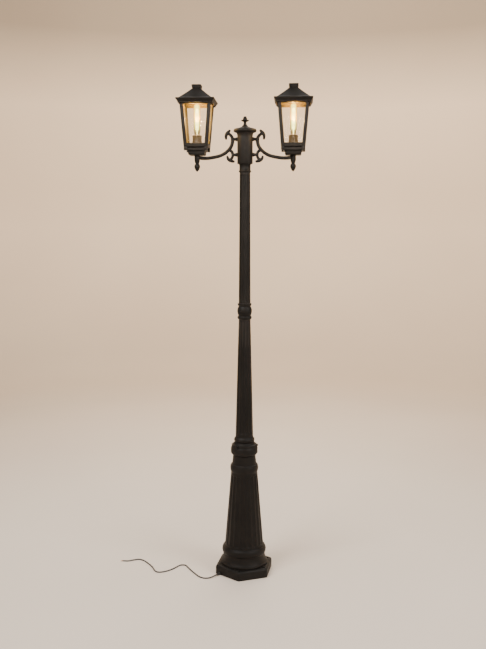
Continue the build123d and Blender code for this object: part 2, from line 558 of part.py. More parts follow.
# sheet roof: flared skirt, flat brim, pyramid and locating frame
frame_w = CAGE_W1 - 0.8
with BuildPart() as roof:
    add(square_frustum(SKIRT_Z0, SKIRT_W0, SKIRT_Z1, SKIRT_W1))
    add(square_frustum(SKIRT_Z0, SKIRT_W0 - ROOF_SHEET, SKIRT_Z1, SKIRT_W1 - ROOF_SHEET), mode=Mode.SUBTRACT)
    brim_z0, brim_z1 = SKIRT_Z1 - 2.5, SKIRT_Z1 + 2
    add(square_frustum(brim_z0, SKIRT_W1 - 2, SKIRT_Z1, SKIRT_W1))
    add(square_frustum(SKIRT_Z1, SKIRT_W1, brim_z1, SKIRT_W1 - 1))
    add(square_frustum(CAGE_Z1 + ROOF_GAP, frame_w, brim_z0, frame_w))
    add(square_frustum(brim_z1, PYRAMID_W0, PYRAMID_Z1, PYRAMID_W1))
    add(square_frustum(CAGE_Z1 + ROOF_GAP, ROOF_ROOM_W, brim_z1, ROOF_ROOM_W), mode=Mode.SUBTRACT)
    add(square_frustum(brim_z1, PYRAMID_W0 - ROOF_SHEET, PYRAMID_Z1 - 3, PYRAMID_W1 - ROOF_SHEET),
        mode=Mode.SUBTRACT)
    with Locations((0, 0, PYRAMID_Z1 - 5)):
        Cylinder(3.0, 10, align=(Align.CENTER, Align.CENTER, Align.MIN), mode=Mode.SUBTRACT)

with BuildPart() as roof_cap:
    add(square_frustum(PYRAMID_Z1, ROOF_CAP_W - 3, PYRAMID_Z1 + 2.5, ROOF_CAP_W - 3))
    add(square_frustum(PYRAMID_Z1 + 2.5, ROOF_CAP_W - 1, ROOF_CAP_Z1 - 9, ROOF_CAP_W - 1))
    add(square_frustum(ROOF_CAP_Z1 - 9, ROOF_CAP_W, ROOF_CAP_Z1 - 2, ROOF_CAP_W))
    add(square_frustum(ROOF_CAP_Z1 - 2, ROOF_CAP_W, ROOF_CAP_Z1, ROOF_CAP_W - 3))
    with Locations((0, 0, PYRAMID_Z1 - 6)):
        Cylinder(3.0, 8, align=(Align.CENTER, Align.CENTER, Align.MIN))

# two screws in the skirt, whose points stop just short of the cage's top rail
roof_screw_z = 2214.5
with BuildPart() as roof_screws:
    for turn in (90, -90):
        reach = 1 if turn > 0 else -1
        with Locations(Location((reach * (CAGE_W1 + 0.3), 50, roof_screw_z), (0, turn, 0))):
            Cylinder(1.5, 11.2, align=(Align.CENTER, Align.CENTER, Align.MIN))
        with Locations(Location((reach * (CAGE_W1 + 9.6), 50, roof_screw_z), (0, turn, 0))):
            Cylinder(3.2, 2.2, align=(Align.CENTER, Align.CENTER, Align.MIN))
with BuildPart() as drilled_roof:
    add(roof.part)
    for turn in (90, -90):
        with Locations(Location((0, 50, roof_screw_z), (0, turn, 0))):
            Cylinder(1.5, 95, align=(Align.CENTER, Align.CENTER, Align.MIN), mode=Mode.SUBTRACT)
    for reach in (1, -1):
        with Locations(Location((reach * (CAGE_W1 + 9.6), 50, roof_screw_z), (0, reach * 90, 0))):
            Cylinder(3.2, 10, align=(Align.CENTER, Align.CENTER, Align.MIN), mode=Mode.SUBTRACT)

lantern_pieces = (
    ("lantern_nipple", nipple), ("nipple_nut", nipple_nut.part), ("lantern_base", lantern_base.part),
    ("lantern_cage", lantern_cage.part), ("lantern_glass", lantern_glass.part),
    ("lamp_holder", lamp_holder), ("holder_contacts", holder_contacts.part), ("bulb_base", bulb_base),
    ("bulb_glass", bulb_glass), ("bulb_filament", bulb_filament.part), ("roof", drilled_roof.part),
    ("roof_cap", roof_cap.part), ("roof_screws", roof_screws.part))
for side, lantern_x in (("right", LANTERN_X), ("left", -LANTERN_X)):
    for name, piece in lantern_pieces:
        keep(Location((lantern_x, 0, 0)) * piece, f"{name}_{side}")
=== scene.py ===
import json
from math import atan2, ceil, cos, hypot, pi, radians, sin, sqrt

import bmesh
import bpy
from mathutils import Matrix, Vector

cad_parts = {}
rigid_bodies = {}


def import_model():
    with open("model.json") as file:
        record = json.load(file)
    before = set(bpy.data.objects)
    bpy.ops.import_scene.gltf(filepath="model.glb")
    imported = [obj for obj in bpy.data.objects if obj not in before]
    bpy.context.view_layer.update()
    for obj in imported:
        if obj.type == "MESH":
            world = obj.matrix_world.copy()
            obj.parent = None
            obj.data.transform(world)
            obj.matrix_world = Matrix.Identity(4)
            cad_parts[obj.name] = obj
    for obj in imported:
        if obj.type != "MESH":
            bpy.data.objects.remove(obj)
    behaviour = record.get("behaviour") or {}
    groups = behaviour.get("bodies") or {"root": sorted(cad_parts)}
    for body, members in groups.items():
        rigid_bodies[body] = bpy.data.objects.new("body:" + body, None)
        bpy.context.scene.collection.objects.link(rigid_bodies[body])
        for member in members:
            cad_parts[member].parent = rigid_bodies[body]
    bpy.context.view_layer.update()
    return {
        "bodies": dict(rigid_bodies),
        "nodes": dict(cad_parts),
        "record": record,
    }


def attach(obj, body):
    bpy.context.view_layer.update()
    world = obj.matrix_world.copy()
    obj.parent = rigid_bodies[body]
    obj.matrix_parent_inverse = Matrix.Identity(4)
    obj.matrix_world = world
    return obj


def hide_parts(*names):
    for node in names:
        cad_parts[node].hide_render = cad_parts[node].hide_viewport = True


# The looks of a street lamp post: fluted cast column, two lit square lanterns on scroll arms, loose
# supply cord. Shapes are built in millimetres and scaled to metres when a piece is made.

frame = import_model()
scene = bpy.context.scene
MM = 0.001
SIDES = (("right", 1.0), ("left", -1.0))


# ---- camera ---------------------------------------------------------------------------------------
CAMERA_AZIMUTH = radians(4.0)        # seen a little from the right of the arms' square-on view
CAMERA_HEIGHT = 1.6205
CAMERA_DISTANCE = 3.712
CAMERA_SIDESTEP = -0.0075
CAMERA_PITCH = radians(6.455)
CAMERA_ROLL = radians(0.12)
CAMERA_LENS = 44.06

back = Vector((sin(CAMERA_AZIMUTH), -cos(CAMERA_AZIMUTH), 0))
right = Vector((cos(CAMERA_AZIMUTH), sin(CAMERA_AZIMUTH), 0))
camera_data = bpy.data.cameras.new("camera")
camera_data.lens = CAMERA_LENS
camera = bpy.data.objects.new("camera", camera_data)
camera.location = back * CAMERA_DISTANCE + right * CAMERA_SIDESTEP + Vector((0, 0, CAMERA_HEIGHT))
camera.rotation_euler = (Matrix.Rotation(CAMERA_AZIMUTH, 3, "Z")
                         @ Matrix.Rotation(pi / 2 - CAMERA_PITCH, 3, "X")
                         @ Matrix.Rotation(CAMERA_ROLL, 3, "Z")).to_euler()
scene.collection.objects.link(camera)
scene.camera = camera


# ---- materials ------------------------------------------------------------------------------------
class Finish:
    """A node material under construction: a Principled shader and short calls for its textures."""

    def __init__(self, name, **values):
        self.material = bpy.data.materials.new(name)
        self.material.use_nodes = True
        self.tree = self.material.node_tree
        self.shader = self.tree.nodes["Principled BSDF"]
        for socket, value in values.items():
            self.shader.inputs[socket.replace("_", " ")].default_value = value

    def node(self, kind, **values):
        made = self.tree.nodes.new("ShaderNode" + kind)
        for key, value in values.items():
            setattr(made, key, value)
        return made

    def join(self, out, into):
        self.tree.links.new(out, into)

    def place(self):
        return self.node("TexCoord").outputs["Object"]

    def noise(self, scale, detail=3.0, roughness=0.5, stretch=None):
        texture = self.node("TexNoise")
        texture.inputs["Scale"].default_value = scale
        texture.inputs["Detail"].default_value = detail
        texture.inputs["Roughness"].default_value = roughness
        where = self.place()
        if stretch:
            mapping = self.node("Mapping")
            mapping.inputs["Scale"].default_value = stretch
            self.join(where, mapping.inputs["Vector"])
            where = mapping.outputs["Vector"]
        self.join(where, texture.inputs["Vector"])
        return texture.outputs["Fac"]

    def ramp(self, value, low, high, out_low=0.0, out_high=1.0):
        remap = self.node("MapRange")
        for socket, number in (("From Min", low), ("From Max", high), ("To Min", out_low),
                               ("To Max", out_high)):
            remap.inputs[socket].default_value = number
        self.join(value, remap.inputs["Value"])
        return remap.outputs["Result"]

    def times(self, a, b):
        multiply = self.node("Math", operation="MULTIPLY")
        self.join(a, multiply.inputs[0])
        if isinstance(b, (int, float)):
            multiply.inputs[1].default_value = b
        else:
            self.join(b, multiply.inputs[1])
        return multiply.outputs[0]

    def mix(self, amount, first, second):
        blend = self.node("Mix", data_type="RGBA")
        self.join(amount, blend.inputs["Factor"])
        for socket, colour in (("A", first), ("B", second)):
            target = [s for s in blend.inputs if s.name == socket and s.type == "RGBA"][0]
            if isinstance(colour, tuple):
                target.default_value = (*colour, 1.0)
            else:
                self.join(colour, target)
        return [s for s in blend.outputs if s.type == "RGBA"][0]

    def bump(self, heights):
        """heights: (value, strength, distance) in order from coarse to fine."""
        normal = None
        for value, strength, distance in heights:
            bump = self.node("Bump")
            bump.inputs["Strength"].default_value = strength
            bump.inputs["Distance"].default_value = distance
            self.join(value, bump.inputs["Height"])
            if normal is not None:
                self.join(normal, bump.inputs["Normal"])
            normal = bump.outputs["Normal"]
        self.join(normal, self.shader.inputs["Normal"])

    def set(self, socket, value):
        self.join(value, self.shader.inputs[socket])
        return self


def coated_metal(name, dark, light, rough_low, rough_high, grain=1.0):
    """Satin black powder coat over a casting or sheet: faint mottling, orange peel, rubbed edges and a
    little dust where a face looks up."""
    coat = Finish(name, Metallic=0.0, Specular_IOR_Level=0.5, IOR=1.27)
    geometry = coat.node("NewGeometry")
    mottle = coat.ramp(coat.noise(9.0, 4.0, 0.6), 0.35, 0.68)
    colour = coat.mix(mottle, dark, light)
    edges = coat.times(coat.ramp(geometry.outputs["Pointiness"], 0.53, 0.62), 0.5)
    colour = coat.mix(edges, colour, tuple(min(1.0, 3.2 * c) for c in light))
    upward = coat.node("SeparateXYZ")
    coat.join(geometry.outputs["Normal"], upward.inputs[0])
    dust = coat.times(coat.ramp(upward.outputs["Z"], 0.45, 0.98),
                      coat.ramp(coat.noise(34.0, 5.0, 0.65), 0.35, 0.75))
    dust = coat.times(dust, 0.05)
    colour = coat.mix(dust, colour, (0.20, 0.17, 0.14))
    coat.set("Base Color", colour)
    coat.set("Roughness", coat.ramp(coat.noise(26.0, 4.0, 0.6), 0.3, 0.7, rough_low, rough_high))
    coat.bump([(coat.noise(70.0, 3.0), 0.25 * grain, 0.0006), (coat.noise(620.0, 2.0), 0.35 * grain, 0.00012),
               (coat.noise(1900.0, 1.0), 0.20, 0.00005)])
    return coat.material


def plated_metal(name, colour, rough, stretch):
    """Bare or plated metal with fine directional marks and slight tarnish."""
    metal = Finish(name, Metallic=1.0)
    tarnish = metal.ramp(metal.noise(60.0, 4.0, 0.65), 0.4, 0.75)
    metal.set("Base Color", metal.mix(tarnish, colour, tuple(0.62 * c for c in colour)))
    metal.set("Roughness", metal.ramp(metal.noise(150.0, 3.0), 0.3, 0.7, rough, rough + 0.16))
    metal.bump([(metal.noise(700.0, 2.0, 0.5, stretch), 0.2, 0.00008)])
    return metal.material


def moulded_plastic(name, colour, rough, grain_scale):
    """Moulded plastic or rubber with a fine eroded grain and faint handling marks."""
    plastic = Finish(name, Metallic=0.0)
    marks = plastic.ramp(plastic.noise(24.0, 4.0, 0.6), 0.4, 0.75)
    plastic.set("Base Color", plastic.mix(marks, colour, tuple(min(1.0, 1.5 * c + 0.012) for c in colour)))
    plastic.set("Roughness", plastic.ramp(plastic.noise(90.0), 0.3, 0.7, rough, rough + 0.15))
    plastic.bump([(plastic.noise(grain_scale, 2.0), 0.3, 0.00008)])
    return plastic.material


def clear_glass(name, tint, alpha, facing_alpha, rough, lit=False, painted_glow_strength=0.0):
    """Thin clear glass: see-through face on, more solid at a grazing view, with faint dust. Its emission is a
    painted glow: an even amber one on lantern panes, for the bulb's warm light in the lantern, and on a lit
    bulb's glass one pale down its middle, amber at its edges and near the lamp holder, for the glare round
    the filaments."""
    # painted glow: the emission colour and strength set here stand in for the lamp's warm light, not light from
    # the glass
    glass = Finish(name, Metallic=0.0, Specular_IOR_Level=0.1 if lit else 0.5,
                   Emission_Color=(1.0, 0.50, 0.07, 1.0), Emission_Strength=painted_glow_strength)
    facing = glass.node("LayerWeight")
    facing.inputs["Blend"].default_value = 0.25
    dust = glass.ramp(glass.noise(45.0, 5.0, 0.7), 0.45, 0.85, 0.0, 0.03)
    veil = glass.ramp(facing.outputs["Facing"], 0.0, 1.0, alpha, facing_alpha)
    total = glass.node("Math", operation="ADD", use_clamp=True)
    glass.join(veil, total.inputs[0])
    glass.join(dust, total.inputs[1])
    glass.set("Alpha", total.outputs[0])
    glass.set("Base Color", glass.mix(glass.noise(20.0), tint, tuple(0.94 * c for c in tint)))
    glass.set("Roughness", glass.ramp(glass.noise(60.0, 3.0), 0.3, 0.7, rough, rough + 0.04))
    if lit:
        # painted glow on the bulb glass, standing in for the glare round the lit filaments
        split = glass.node("SeparateXYZ")
        glass.join(glass.place(), split.inputs[0])
        turned = (facing.outputs["Facing"], 0.03, 0.38)        # from the middle of the tube to its edge
        edge = glass.ramp(*turned)
        glass.set("Emission Color", glass.mix(edge, (1.0, 0.97, 0.26), (1.0, 0.62, 0.02)))
        glass.set("Emission Strength", glass.times(glass.ramp(*turned, 4.2, 0.75),
                                                   glass.ramp(split.outputs["Z"], 2.088, 2.124, 0.07, 1.0)))
    return glass.material


def glowing(name, colour, strength, variation):
    """Hot wire or lit support: its light varies a little along its length."""
    hot = Finish(name, Emission_Strength=strength, Roughness=0.6, Specular_IOR_Level=0.0)
    wave = hot.ramp(hot.noise(160.0, 2.0), 0.3, 0.7)
    cooler = tuple(c * variation for c in colour)
    hot.set("Emission Color", hot.mix(wave, colour, cooler))
    hot.set("Base Color", hot.mix(wave, (0.012, 0.008, 0.004), (0.008, 0.005, 0.003)))
    return hot.material


cast_black = coated_metal("cast_black", (0.0042, 0.0036, 0.0032), (0.0088, 0.0076, 0.0068), 0.46, 0.60)
sheet_black = coated_metal("sheet_black", (0.0040, 0.0034, 0.0030), (0.0080, 0.0070, 0.0062), 0.48, 0.60, 0.6)
screw_black = coated_metal("screw_black", (0.0035, 0.0033, 0.0032), (0.009, 0.0085, 0.008), 0.30, 0.42, 0.3)
zinc = plated_metal("zinc", (0.56, 0.57, 0.58), 0.32, (1.0, 1.0, 0.15))
brass = plated_metal("brass", (0.78, 0.58, 0.30), 0.26, (1.0, 1.0, 0.2))
holder_black = moulded_plastic("holder_black", (0.016, 0.015, 0.015), 0.42, 900.0)
terminal_white = moulded_plastic("terminal_white", (0.62, 0.60, 0.55), 0.45, 700.0)
cord_black = moulded_plastic("cord_black", (0.030, 0.028, 0.027), 0.48, 1500.0)
core_brown = moulded_plastic("core_brown", (0.16, 0.075, 0.035), 0.40, 1500.0)
# pane_glass glows amber: a painted glow for the bulb's warm light in the lantern; bulb_clear's emission is a
# painted glow for the glare round the filaments
pane_glass = clear_glass("pane_glass", (0.10, 0.085, 0.065), 0.05, 0.5, 0.03, painted_glow_strength=1.1)
bulb_clear = clear_glass("bulb_clear", (0.010, 0.006, 0.002), 0.30, 0.90, 0.02, lit=True)
filament_glow = glowing("filament_glow", (1.0, 0.90, 0.26), 14.0, 0.85)


# ---- mesh helpers ---------------------------------------------------------------------------------
def outline(start, *steps, arc_points=8):
    """(radius, height) points. A step of two numbers is a corner; four are an arc's middle and end."""
    points = [start]
    for step in steps:
        here = points[-1]
        if len(step) == 2:
            points.append(step)
            continue
        (ax, ay), (bx, by), (cx, cy) = here, step[:2], step[2:]
        d = 2 * (ax * (by - cy) + bx * (cy - ay) + cx * (ay - by))
        ux = ((ax**2 + ay**2) * (by - cy) + (bx**2 + by**2) * (cy - ay) + (cx**2 + cy**2) * (ay - by)) / d
        uy = ((ax**2 + ay**2) * (cx - bx) + (bx**2 + by**2) * (ax - cx) + (cx**2 + cy**2) * (bx - ax)) / d
        radius = hypot(ax - ux, ay - uy)
        begin, middle, end = (atan2(y - uy, x - ux) for x, y in (here, step[:2], step[2:]))
        sweep = (end - begin) % (2 * pi)
        if (middle - begin) % (2 * pi) > sweep:
            sweep -= 2 * pi
        for i in range(1, arc_points + 1):
            angle = begin + sweep * i / arc_points
            points.append((ux + radius * cos(angle), uy + radius * sin(angle)))
        points[-1] = step[2:]
    return points


def mesh_piece(name, verts, faces, material, sharp=30.0):
    """A mesh object from millimetre coordinates, smooth except across sharp edges."""
    mesh = bpy.data.meshes.new(name)
    mesh.from_pydata([Vector(v) * MM for v in verts], [], faces)
    mesh.validate()
    piece = bpy.data.objects.new(name, mesh)
    scene.collection.objects.link(piece)
    tidy = bmesh.new()
    tidy.from_mesh(mesh)
    bmesh.ops.remove_doubles(tidy, verts=tidy.verts, dist=0.00001)
    bmesh.ops.recalc_face_normals(tidy, faces=tidy.faces)
    tidy.to_mesh(mesh)
    tidy.free()
    mesh.materials.append(material)
    mesh.shade_smooth()
    mesh.set_sharp_from_angle(angle=radians(sharp))
    return piece


def rings_mesh(rings, closed_section):
    """Vertices and quads through equal-length closed rings, with poles or a closed section."""
    count = len(rings[0])
    verts = [point for ring in rings for point in ring]
    pairs = list(zip(range(len(rings)), range(1, len(rings))))
    if closed_section:
        pairs.append((len(rings) - 1, 0))
    faces = [(a * count + i, a * count + (i + 1) % count, b * count + (i + 1) % count, b * count + i)
             for a, b in pairs for i in range(count)]
    if not closed_section:
        faces += [tuple(range(count)), tuple((len(rings) - 1) * count + i for i in range(count))]
    return verts, faces


def lathe(name, profile, material, segments=64, centre=(0, 0), closed=True, flute=None, sharp=30.0):
    """A turned piece. flute(angle, height) gives how far the surface sinks there."""
    rings = []
    for r, z in profile:
        ring = []
        for i in range(segments):
            angle = 2 * pi * i / segments
            depth = flute(angle, z) if flute else 0.0
            ring.append((centre[0] + (r - depth) * cos(angle), centre[1] + (r - depth) * sin(angle), z))
        rings.append(ring)
    return mesh_piece(name, *rings_mesh(rings, closed), material, sharp)


def polygon_ring(half, z, sides, turn, corner, centre=(0, 0), arc=4):
    """A closed ring round a regular polygon of inner radius half, with rounded corners."""
    to_corner = half / cos(pi / sides)
    corner = min(corner, 0.9 * half)
    ring = []
    for k in range(sides):
        middle = turn + 2 * pi * k / sides
        pivot = to_corner - corner / cos(pi / sides)
        for j in range(arc + 1):
            angle = middle - pi / sides + 2 * pi / sides * j / arc
            ring.append((centre[0] + pivot * cos(middle) + corner * cos(angle),
                         centre[1] + pivot * sin(middle) + corner * sin(angle), z))
    return ring


def polygon_lathe(name, profile, sides, turn, corner, material, centre=(0, 0), closed=True):
    """A moulded polygonal piece: profile points are (inner radius, height)."""
    rings = [polygon_ring(half, z, sides, turn, corner, centre) for half, z in profile]
    return mesh_piece(name, *rings_mesh(rings, closed), material)


def round_edges(piece, width, segments=2, angle=35.0):
    """Rounds the hard edges of a piece and applies the result to its mesh."""
    bevel = piece.modifiers.new("bevel", "BEVEL")
    bevel.width = width * MM
    bevel.segments = segments
    bevel.limit_method = "ANGLE"
    bevel.angle_limit = radians(angle)
    apply_modifiers(piece)
    piece.data.shade_smooth()
    piece.data.set_sharp_from_angle(angle=radians(40.0))
    return piece


def apply_modifiers(piece):
    bpy.context.view_layer.update()
    evaluated = piece.evaluated_get(bpy.context.evaluated_depsgraph_get())
    mesh = bpy.data.meshes.new_from_object(evaluated)
    piece.modifiers.clear()
    piece.data = mesh


def cut(piece, cutters):
    """Cuts each cutter object out of piece and deletes the cutters."""
    for cutter in cutters:
        boolean = piece.modifiers.new("cut", "BOOLEAN")
        boolean.operation = "DIFFERENCE"
        boolean.solver = "EXACT"
        boolean.object = cutter
    apply_modifiers(piece)
    for cutter in cutters:
        bpy.data.objects.remove(cutter)


def merge(name, pieces):
    """Joins separate closed shells into one object."""
    joined = bmesh.new()
    for piece in pieces:
        joined.from_mesh(piece.data)
    mesh = bpy.data.meshes.new(name)
    joined.to_mesh(mesh)
    joined.free()
    for material in pieces[0].data.materials:
        mesh.materials.append(material)
    for piece in pieces:
        bpy.data.objects.remove(piece)
    whole = bpy.data.objects.new(name, mesh)
    scene.collection.objects.link(whole)
    return whole


def prism(name, low, high, material):
    """A closed block between two rings with the same number of corners."""
    return mesh_piece(name, *rings_mesh([low, high], False), material)


def smooth_path(points, per_span=10):
    """Points along a smooth curve through the given ones (Catmull-Rom)."""
    ends = [points[0] * 2 - points[1], *points, points[-1] * 2 - points[-2]]
    path = []
    for a, b, c, d in zip(ends, ends[1:], ends[2:], ends[3:]):
        for i in range(per_span):
            t = i / per_span
            path.append(0.5 * ((2 * b) + (c - a) * t + (2 * a - 5 * b + 4 * c - d) * t * t
                               + (3 * b - a - 3 * c + d) * t**3))
    return path + [points[-1]]


def bar(name, path, radius_at, material, flat=1.0, segments=14):
    """A bar swept along a path in the XZ plane. flat scales its thickness along Y."""
    rings = []
    for i, point in enumerate(path):
        ahead, behind = path[min(i + 1, len(path) - 1)], path[max(i - 1, 0)]
        along = (ahead - behind).normalized()
        side = Vector((along.z, 0, -along.x))
        radius = radius_at(i / (len(path) - 1))
        rings.append([tuple(point + side * radius * cos(a) + Vector((0, radius * flat * sin(a), 0)))
                      for a in (2 * pi * k / segments for k in range(segments))])
    return mesh_piece(name, *rings_mesh(rings, False), material)


def hex_screw(name, where, outward, head_r, head_h, socket_r, material):
    """A cylinder-head screw with a hexagon socket; where is the seat of its head."""
    outward = Vector(outward).normalized()
    turn = outward.to_track_quat("Z", "Y").to_matrix()
    circle = [2 * pi * k / 24 for k in range(24)]

    def ring(radius, height, hexagon=False):
        points = []
        for a in circle:
            r = radius / cos((a + pi / 6) % (pi / 3) - pi / 6) * cos(pi / 6) if hexagon else radius
            points.append(tuple(Vector(where) + turn @ Vector((r * cos(a), r * sin(a), height))))
        return points

    rings = [ring(head_r, 0), ring(head_r, head_h - 0.5), ring(head_r - 0.5, head_h),
             ring(socket_r + 0.4, head_h), ring(socket_r, head_h - 0.4, True),
             ring(socket_r, 0.35 * head_h, True)]
    return mesh_piece(name, *rings_mesh(rings, False), material, 25.0)


def place(piece, body, slot, *replaced):
    """Puts a finished piece on its body and, where it stands for CAD nodes, hides those."""
    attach(piece, body)
    if replaced:
        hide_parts(*replaced)
    return piece


# ---- supply cord ----------------------------------------------------------------------------------
HEX_R = 144.0
FRONT_CORNER = radians(-96.7)
CORD_R = 3.0
RELIEF_LENGTH = 20.0
side_normal = FRONT_CORNER - pi / 6
out_of_side = Vector((cos(side_normal), sin(side_normal), 0))
left_corner = HEX_R * Vector((cos(FRONT_CORNER - pi / 3), sin(FRONT_CORNER - pi / 3), 0))
front_corner = HEX_R * Vector((cos(FRONT_CORNER), sin(FRONT_CORNER), 0))
along_side = (front_corner - left_corner).normalized()
cord_exit = left_corner + along_side * 24.0 + Vector((0, 0, 6.8))
cord_start = cord_exit + out_of_side * RELIEF_LENGTH
FLOOR = 3.1                    # height of the cord's centre where it lies
cord_points = [
    cord_start, cord_start + out_of_side * 20, Vector((-159, -119, FLOOR)), Vector((-185, -121, FLOOR)),
    Vector((-209, -104, FLOOR)), Vector((-228, -77, FLOOR)), Vector((-251, -43, FLOOR)),
    Vector((-276, -2, FLOOR)), Vector((-290, 24, FLOOR)), Vector((-317, 22, FLOOR)),
    Vector((-334, -10, FLOOR)), Vector((-356, -42, FLOOR)), Vector((-382, -62, FLOOR)),
    Vector((-409, -73, FLOOR)), Vector((-430, -56, FLOOR)), Vector((-443, -22, FLOOR)),
    Vector((-466, 15, FLOOR)), Vector((-502, 60, FLOOR)), Vector((-532, 78, FLOOR)),
    Vector((-562, 61, FLOOR)), Vector((-586, 47, FLOOR)), Vector((-607, 51, FLOOR))]
cord_curve = bpy.data.curves.new("supply_cord_sheath", "CURVE")
cord_curve.dimensions = "3D"
cord_curve.bevel_depth = CORD_R * MM
cord_curve.bevel_resolution = 5
cord_curve.use_fill_caps = True
spline = cord_curve.splines.new("NURBS")
spline.points.add(len(cord_points) - 1)
for point, where in zip(spline.points, cord_points):
    point.co = (*(where * MM), 1.0)
spline.order_u = 3
spline.use_endpoint_u = True
spline.resolution_u = 12
cord_curve.materials.append(cord_black)
supply_cord = bpy.data.objects.new("supply_cord_sheath", cord_curve)
scene.collection.objects.link(supply_cord)
place(supply_cord, "post", "cord_sheath", "supply_cord")

# the cut end: two insulated cores that fork, each with a short bare copper tip
end_heading = (cord_points[-1] - cord_points[-2]).normalized()
copper = plated_metal("copper", (0.86, 0.45, 0.26), 0.3, (1.0, 1.0, 1.0))
core_parts = []
for spread, length, offset in ((14.0, 15.0, 1.4), (-16.0, 12.0, -1.4)):
    sideways = Vector((-end_heading.y, end_heading.x, 0)) * offset
    heading = Matrix.Rotation(radians(spread), 3, "Z") @ end_heading - Vector((0, 0, 0.06))
    start = cord_points[-1] + sideways - end_heading * 0.5
    turn = heading.to_track_quat("Z", "Y").to_matrix()
    section = [(0.2, 0), (1.15, 0), (1.2, 0.3), (1.2, length - 5.2), (1.0, length - 5.0),
               (0.75, length - 5.0), (0.78, length - 0.5), (0.3, length)]
    core = lathe("core", section, core_brown, 16, closed=False)
    core.data.materials.append(copper)
    for face in core.data.polygons:
        if face.center.z > (length - 5.1) * MM:
            face.material_index = 1
    core.data.transform(Matrix.Translation(start * MM) @ turn.to_4x4())
    core_parts.append(core)
cord_cores = merge("cord_core_ends", core_parts)
place(cord_cores, "post", "core_insulation", "cord_cores")

# tapered strain relief with flex ribs
relief_profile = [(0.5, -8.0), (4.9, -8.0), (4.9, 0.0), (6.2, 0.0), (6.2, 2.0)]
for k in range(6):
    at = 2.6 + 2.7 * k
    width = 6.2 - (6.2 - CORD_R - 1.2) * at / RELIEF_LENGTH
    relief_profile += [(width - 0.9, at), (width - 0.9, at + 1.0), (width, at + 1.2), (width, at + 2.5)]
relief_profile += [(CORD_R + 1.2, RELIEF_LENGTH - 1.0), (CORD_R + 0.8, RELIEF_LENGTH), (0.5, RELIEF_LENGTH)]
relief = lathe("strain_relief", relief_profile, cord_black, 40, closed=False)
relief.data.transform(Matrix.Translation(cord_exit * MM)
                      @ out_of_side.to_track_quat("Z", "Y").to_matrix().to_4x4())
place(relief, "post", "cord_sheath", "cord_relief")


# ---- foot -----------------------------------------------------------------------------------------
APOTHEM = HEX_R * cos(pi / 6)
PLATE_H = 44.0
ANCHOR_CIRCLE_R, ANCHOR_HOLE_R, ANCHOR_BOSS_R = 122.0, 5.5, 8.5
plate_profile = outline(
    (0.5, PLATE_H), (114, PLATE_H), (116.5, PLATE_H - 0.2), (119, PLATE_H - 1.0, APOTHEM - 2.2, 39.5),
    (APOTHEM - 0.8, 37.5), (APOTHEM, 34.5), (APOTHEM, 1.5), (APOTHEM - 1.5, 0.0), (APOTHEM - 8, 0.0),
    (APOTHEM - 8, 36.0), (0.5, 36.0), arc_points=6)
plate = polygon_lathe("hexagonal_plate", plate_profile, 6, FRONT_CORNER, 5.0, cast_black, closed=False)
holes, bosses = [], []
for k in range(6):
    angle = FRONT_CORNER + k * pi / 3
    spot = (ANCHOR_CIRCLE_R * cos(angle), ANCHOR_CIRCLE_R * sin(angle))
    holes.append(lathe(
        f"hole_{k}", [(0.1, 30), (ANCHOR_HOLE_R, 30), (ANCHOR_HOLE_R, 42.6), (7.5, 46), (0.1, 46)],
        cast_black, 32, spot, closed=False))
    bosses.append(lathe(
        f"boss_{k}", [(ANCHOR_HOLE_R, 0.2), (ANCHOR_BOSS_R, 0.2), (ANCHOR_BOSS_R, 36.2), (ANCHOR_HOLE_R, 36.2)],
        cast_black, 32, spot))
cut(plate, holes)
plate = merge("hexagonal_foot", [plate, *bosses])
plate.data.shade_smooth()
plate.data.set_sharp_from_angle(angle=radians(32))
place(plate, "post", "black_coat", "base_plate")


# ---- fluted column --------------------------------------------------------------------------------
def flutes(count, r0, z0, r1, z1, share, depth, offset=0.0):
    """How far round-ended flutes sink into a taper, as a function of angle and height."""
    def sink(angle, z):
        if not z0 < z < z1:
            return 0.0
        radius = r0 + (r1 - r0) * (z - z0) / (z1 - z0)
        half = share * pi * radius / count
        step = 2 * pi / count
        off = ((angle - offset + step / 2) % step - step / 2) * radius / half
        run_out = max(0.0, z0 + half - z, z - z1 + half) / half
        inside = 1 - off * off - run_out * run_out
        return depth * sqrt(inside) if inside > 0 else 0.0
    return sink


def with_rows(profile, z0, z1, end_zone):
    """Adds rings between z0 and z1: close together at the flutes' round ends, apart between."""
    heights = [z0 + end_zone * k / 10 for k in range(11)] + [z1 - end_zone * k / 10 for k in range(11)]
    steps = ceil((z1 - z0) / 40)
    heights += [z0 + (z1 - z0) * k / steps for k in range(1, steps)]
    rows = []
    for (ra, za), (rb, zb) in zip(profile, profile[1:]):
        rows.append((ra, za))
        if zb - za > 100:
            rows += [(ra + (rb - ra) * (z - za) / (zb - za), z) for z in sorted(heights) if za < z < zb]
    return rows + [profile[-1]]


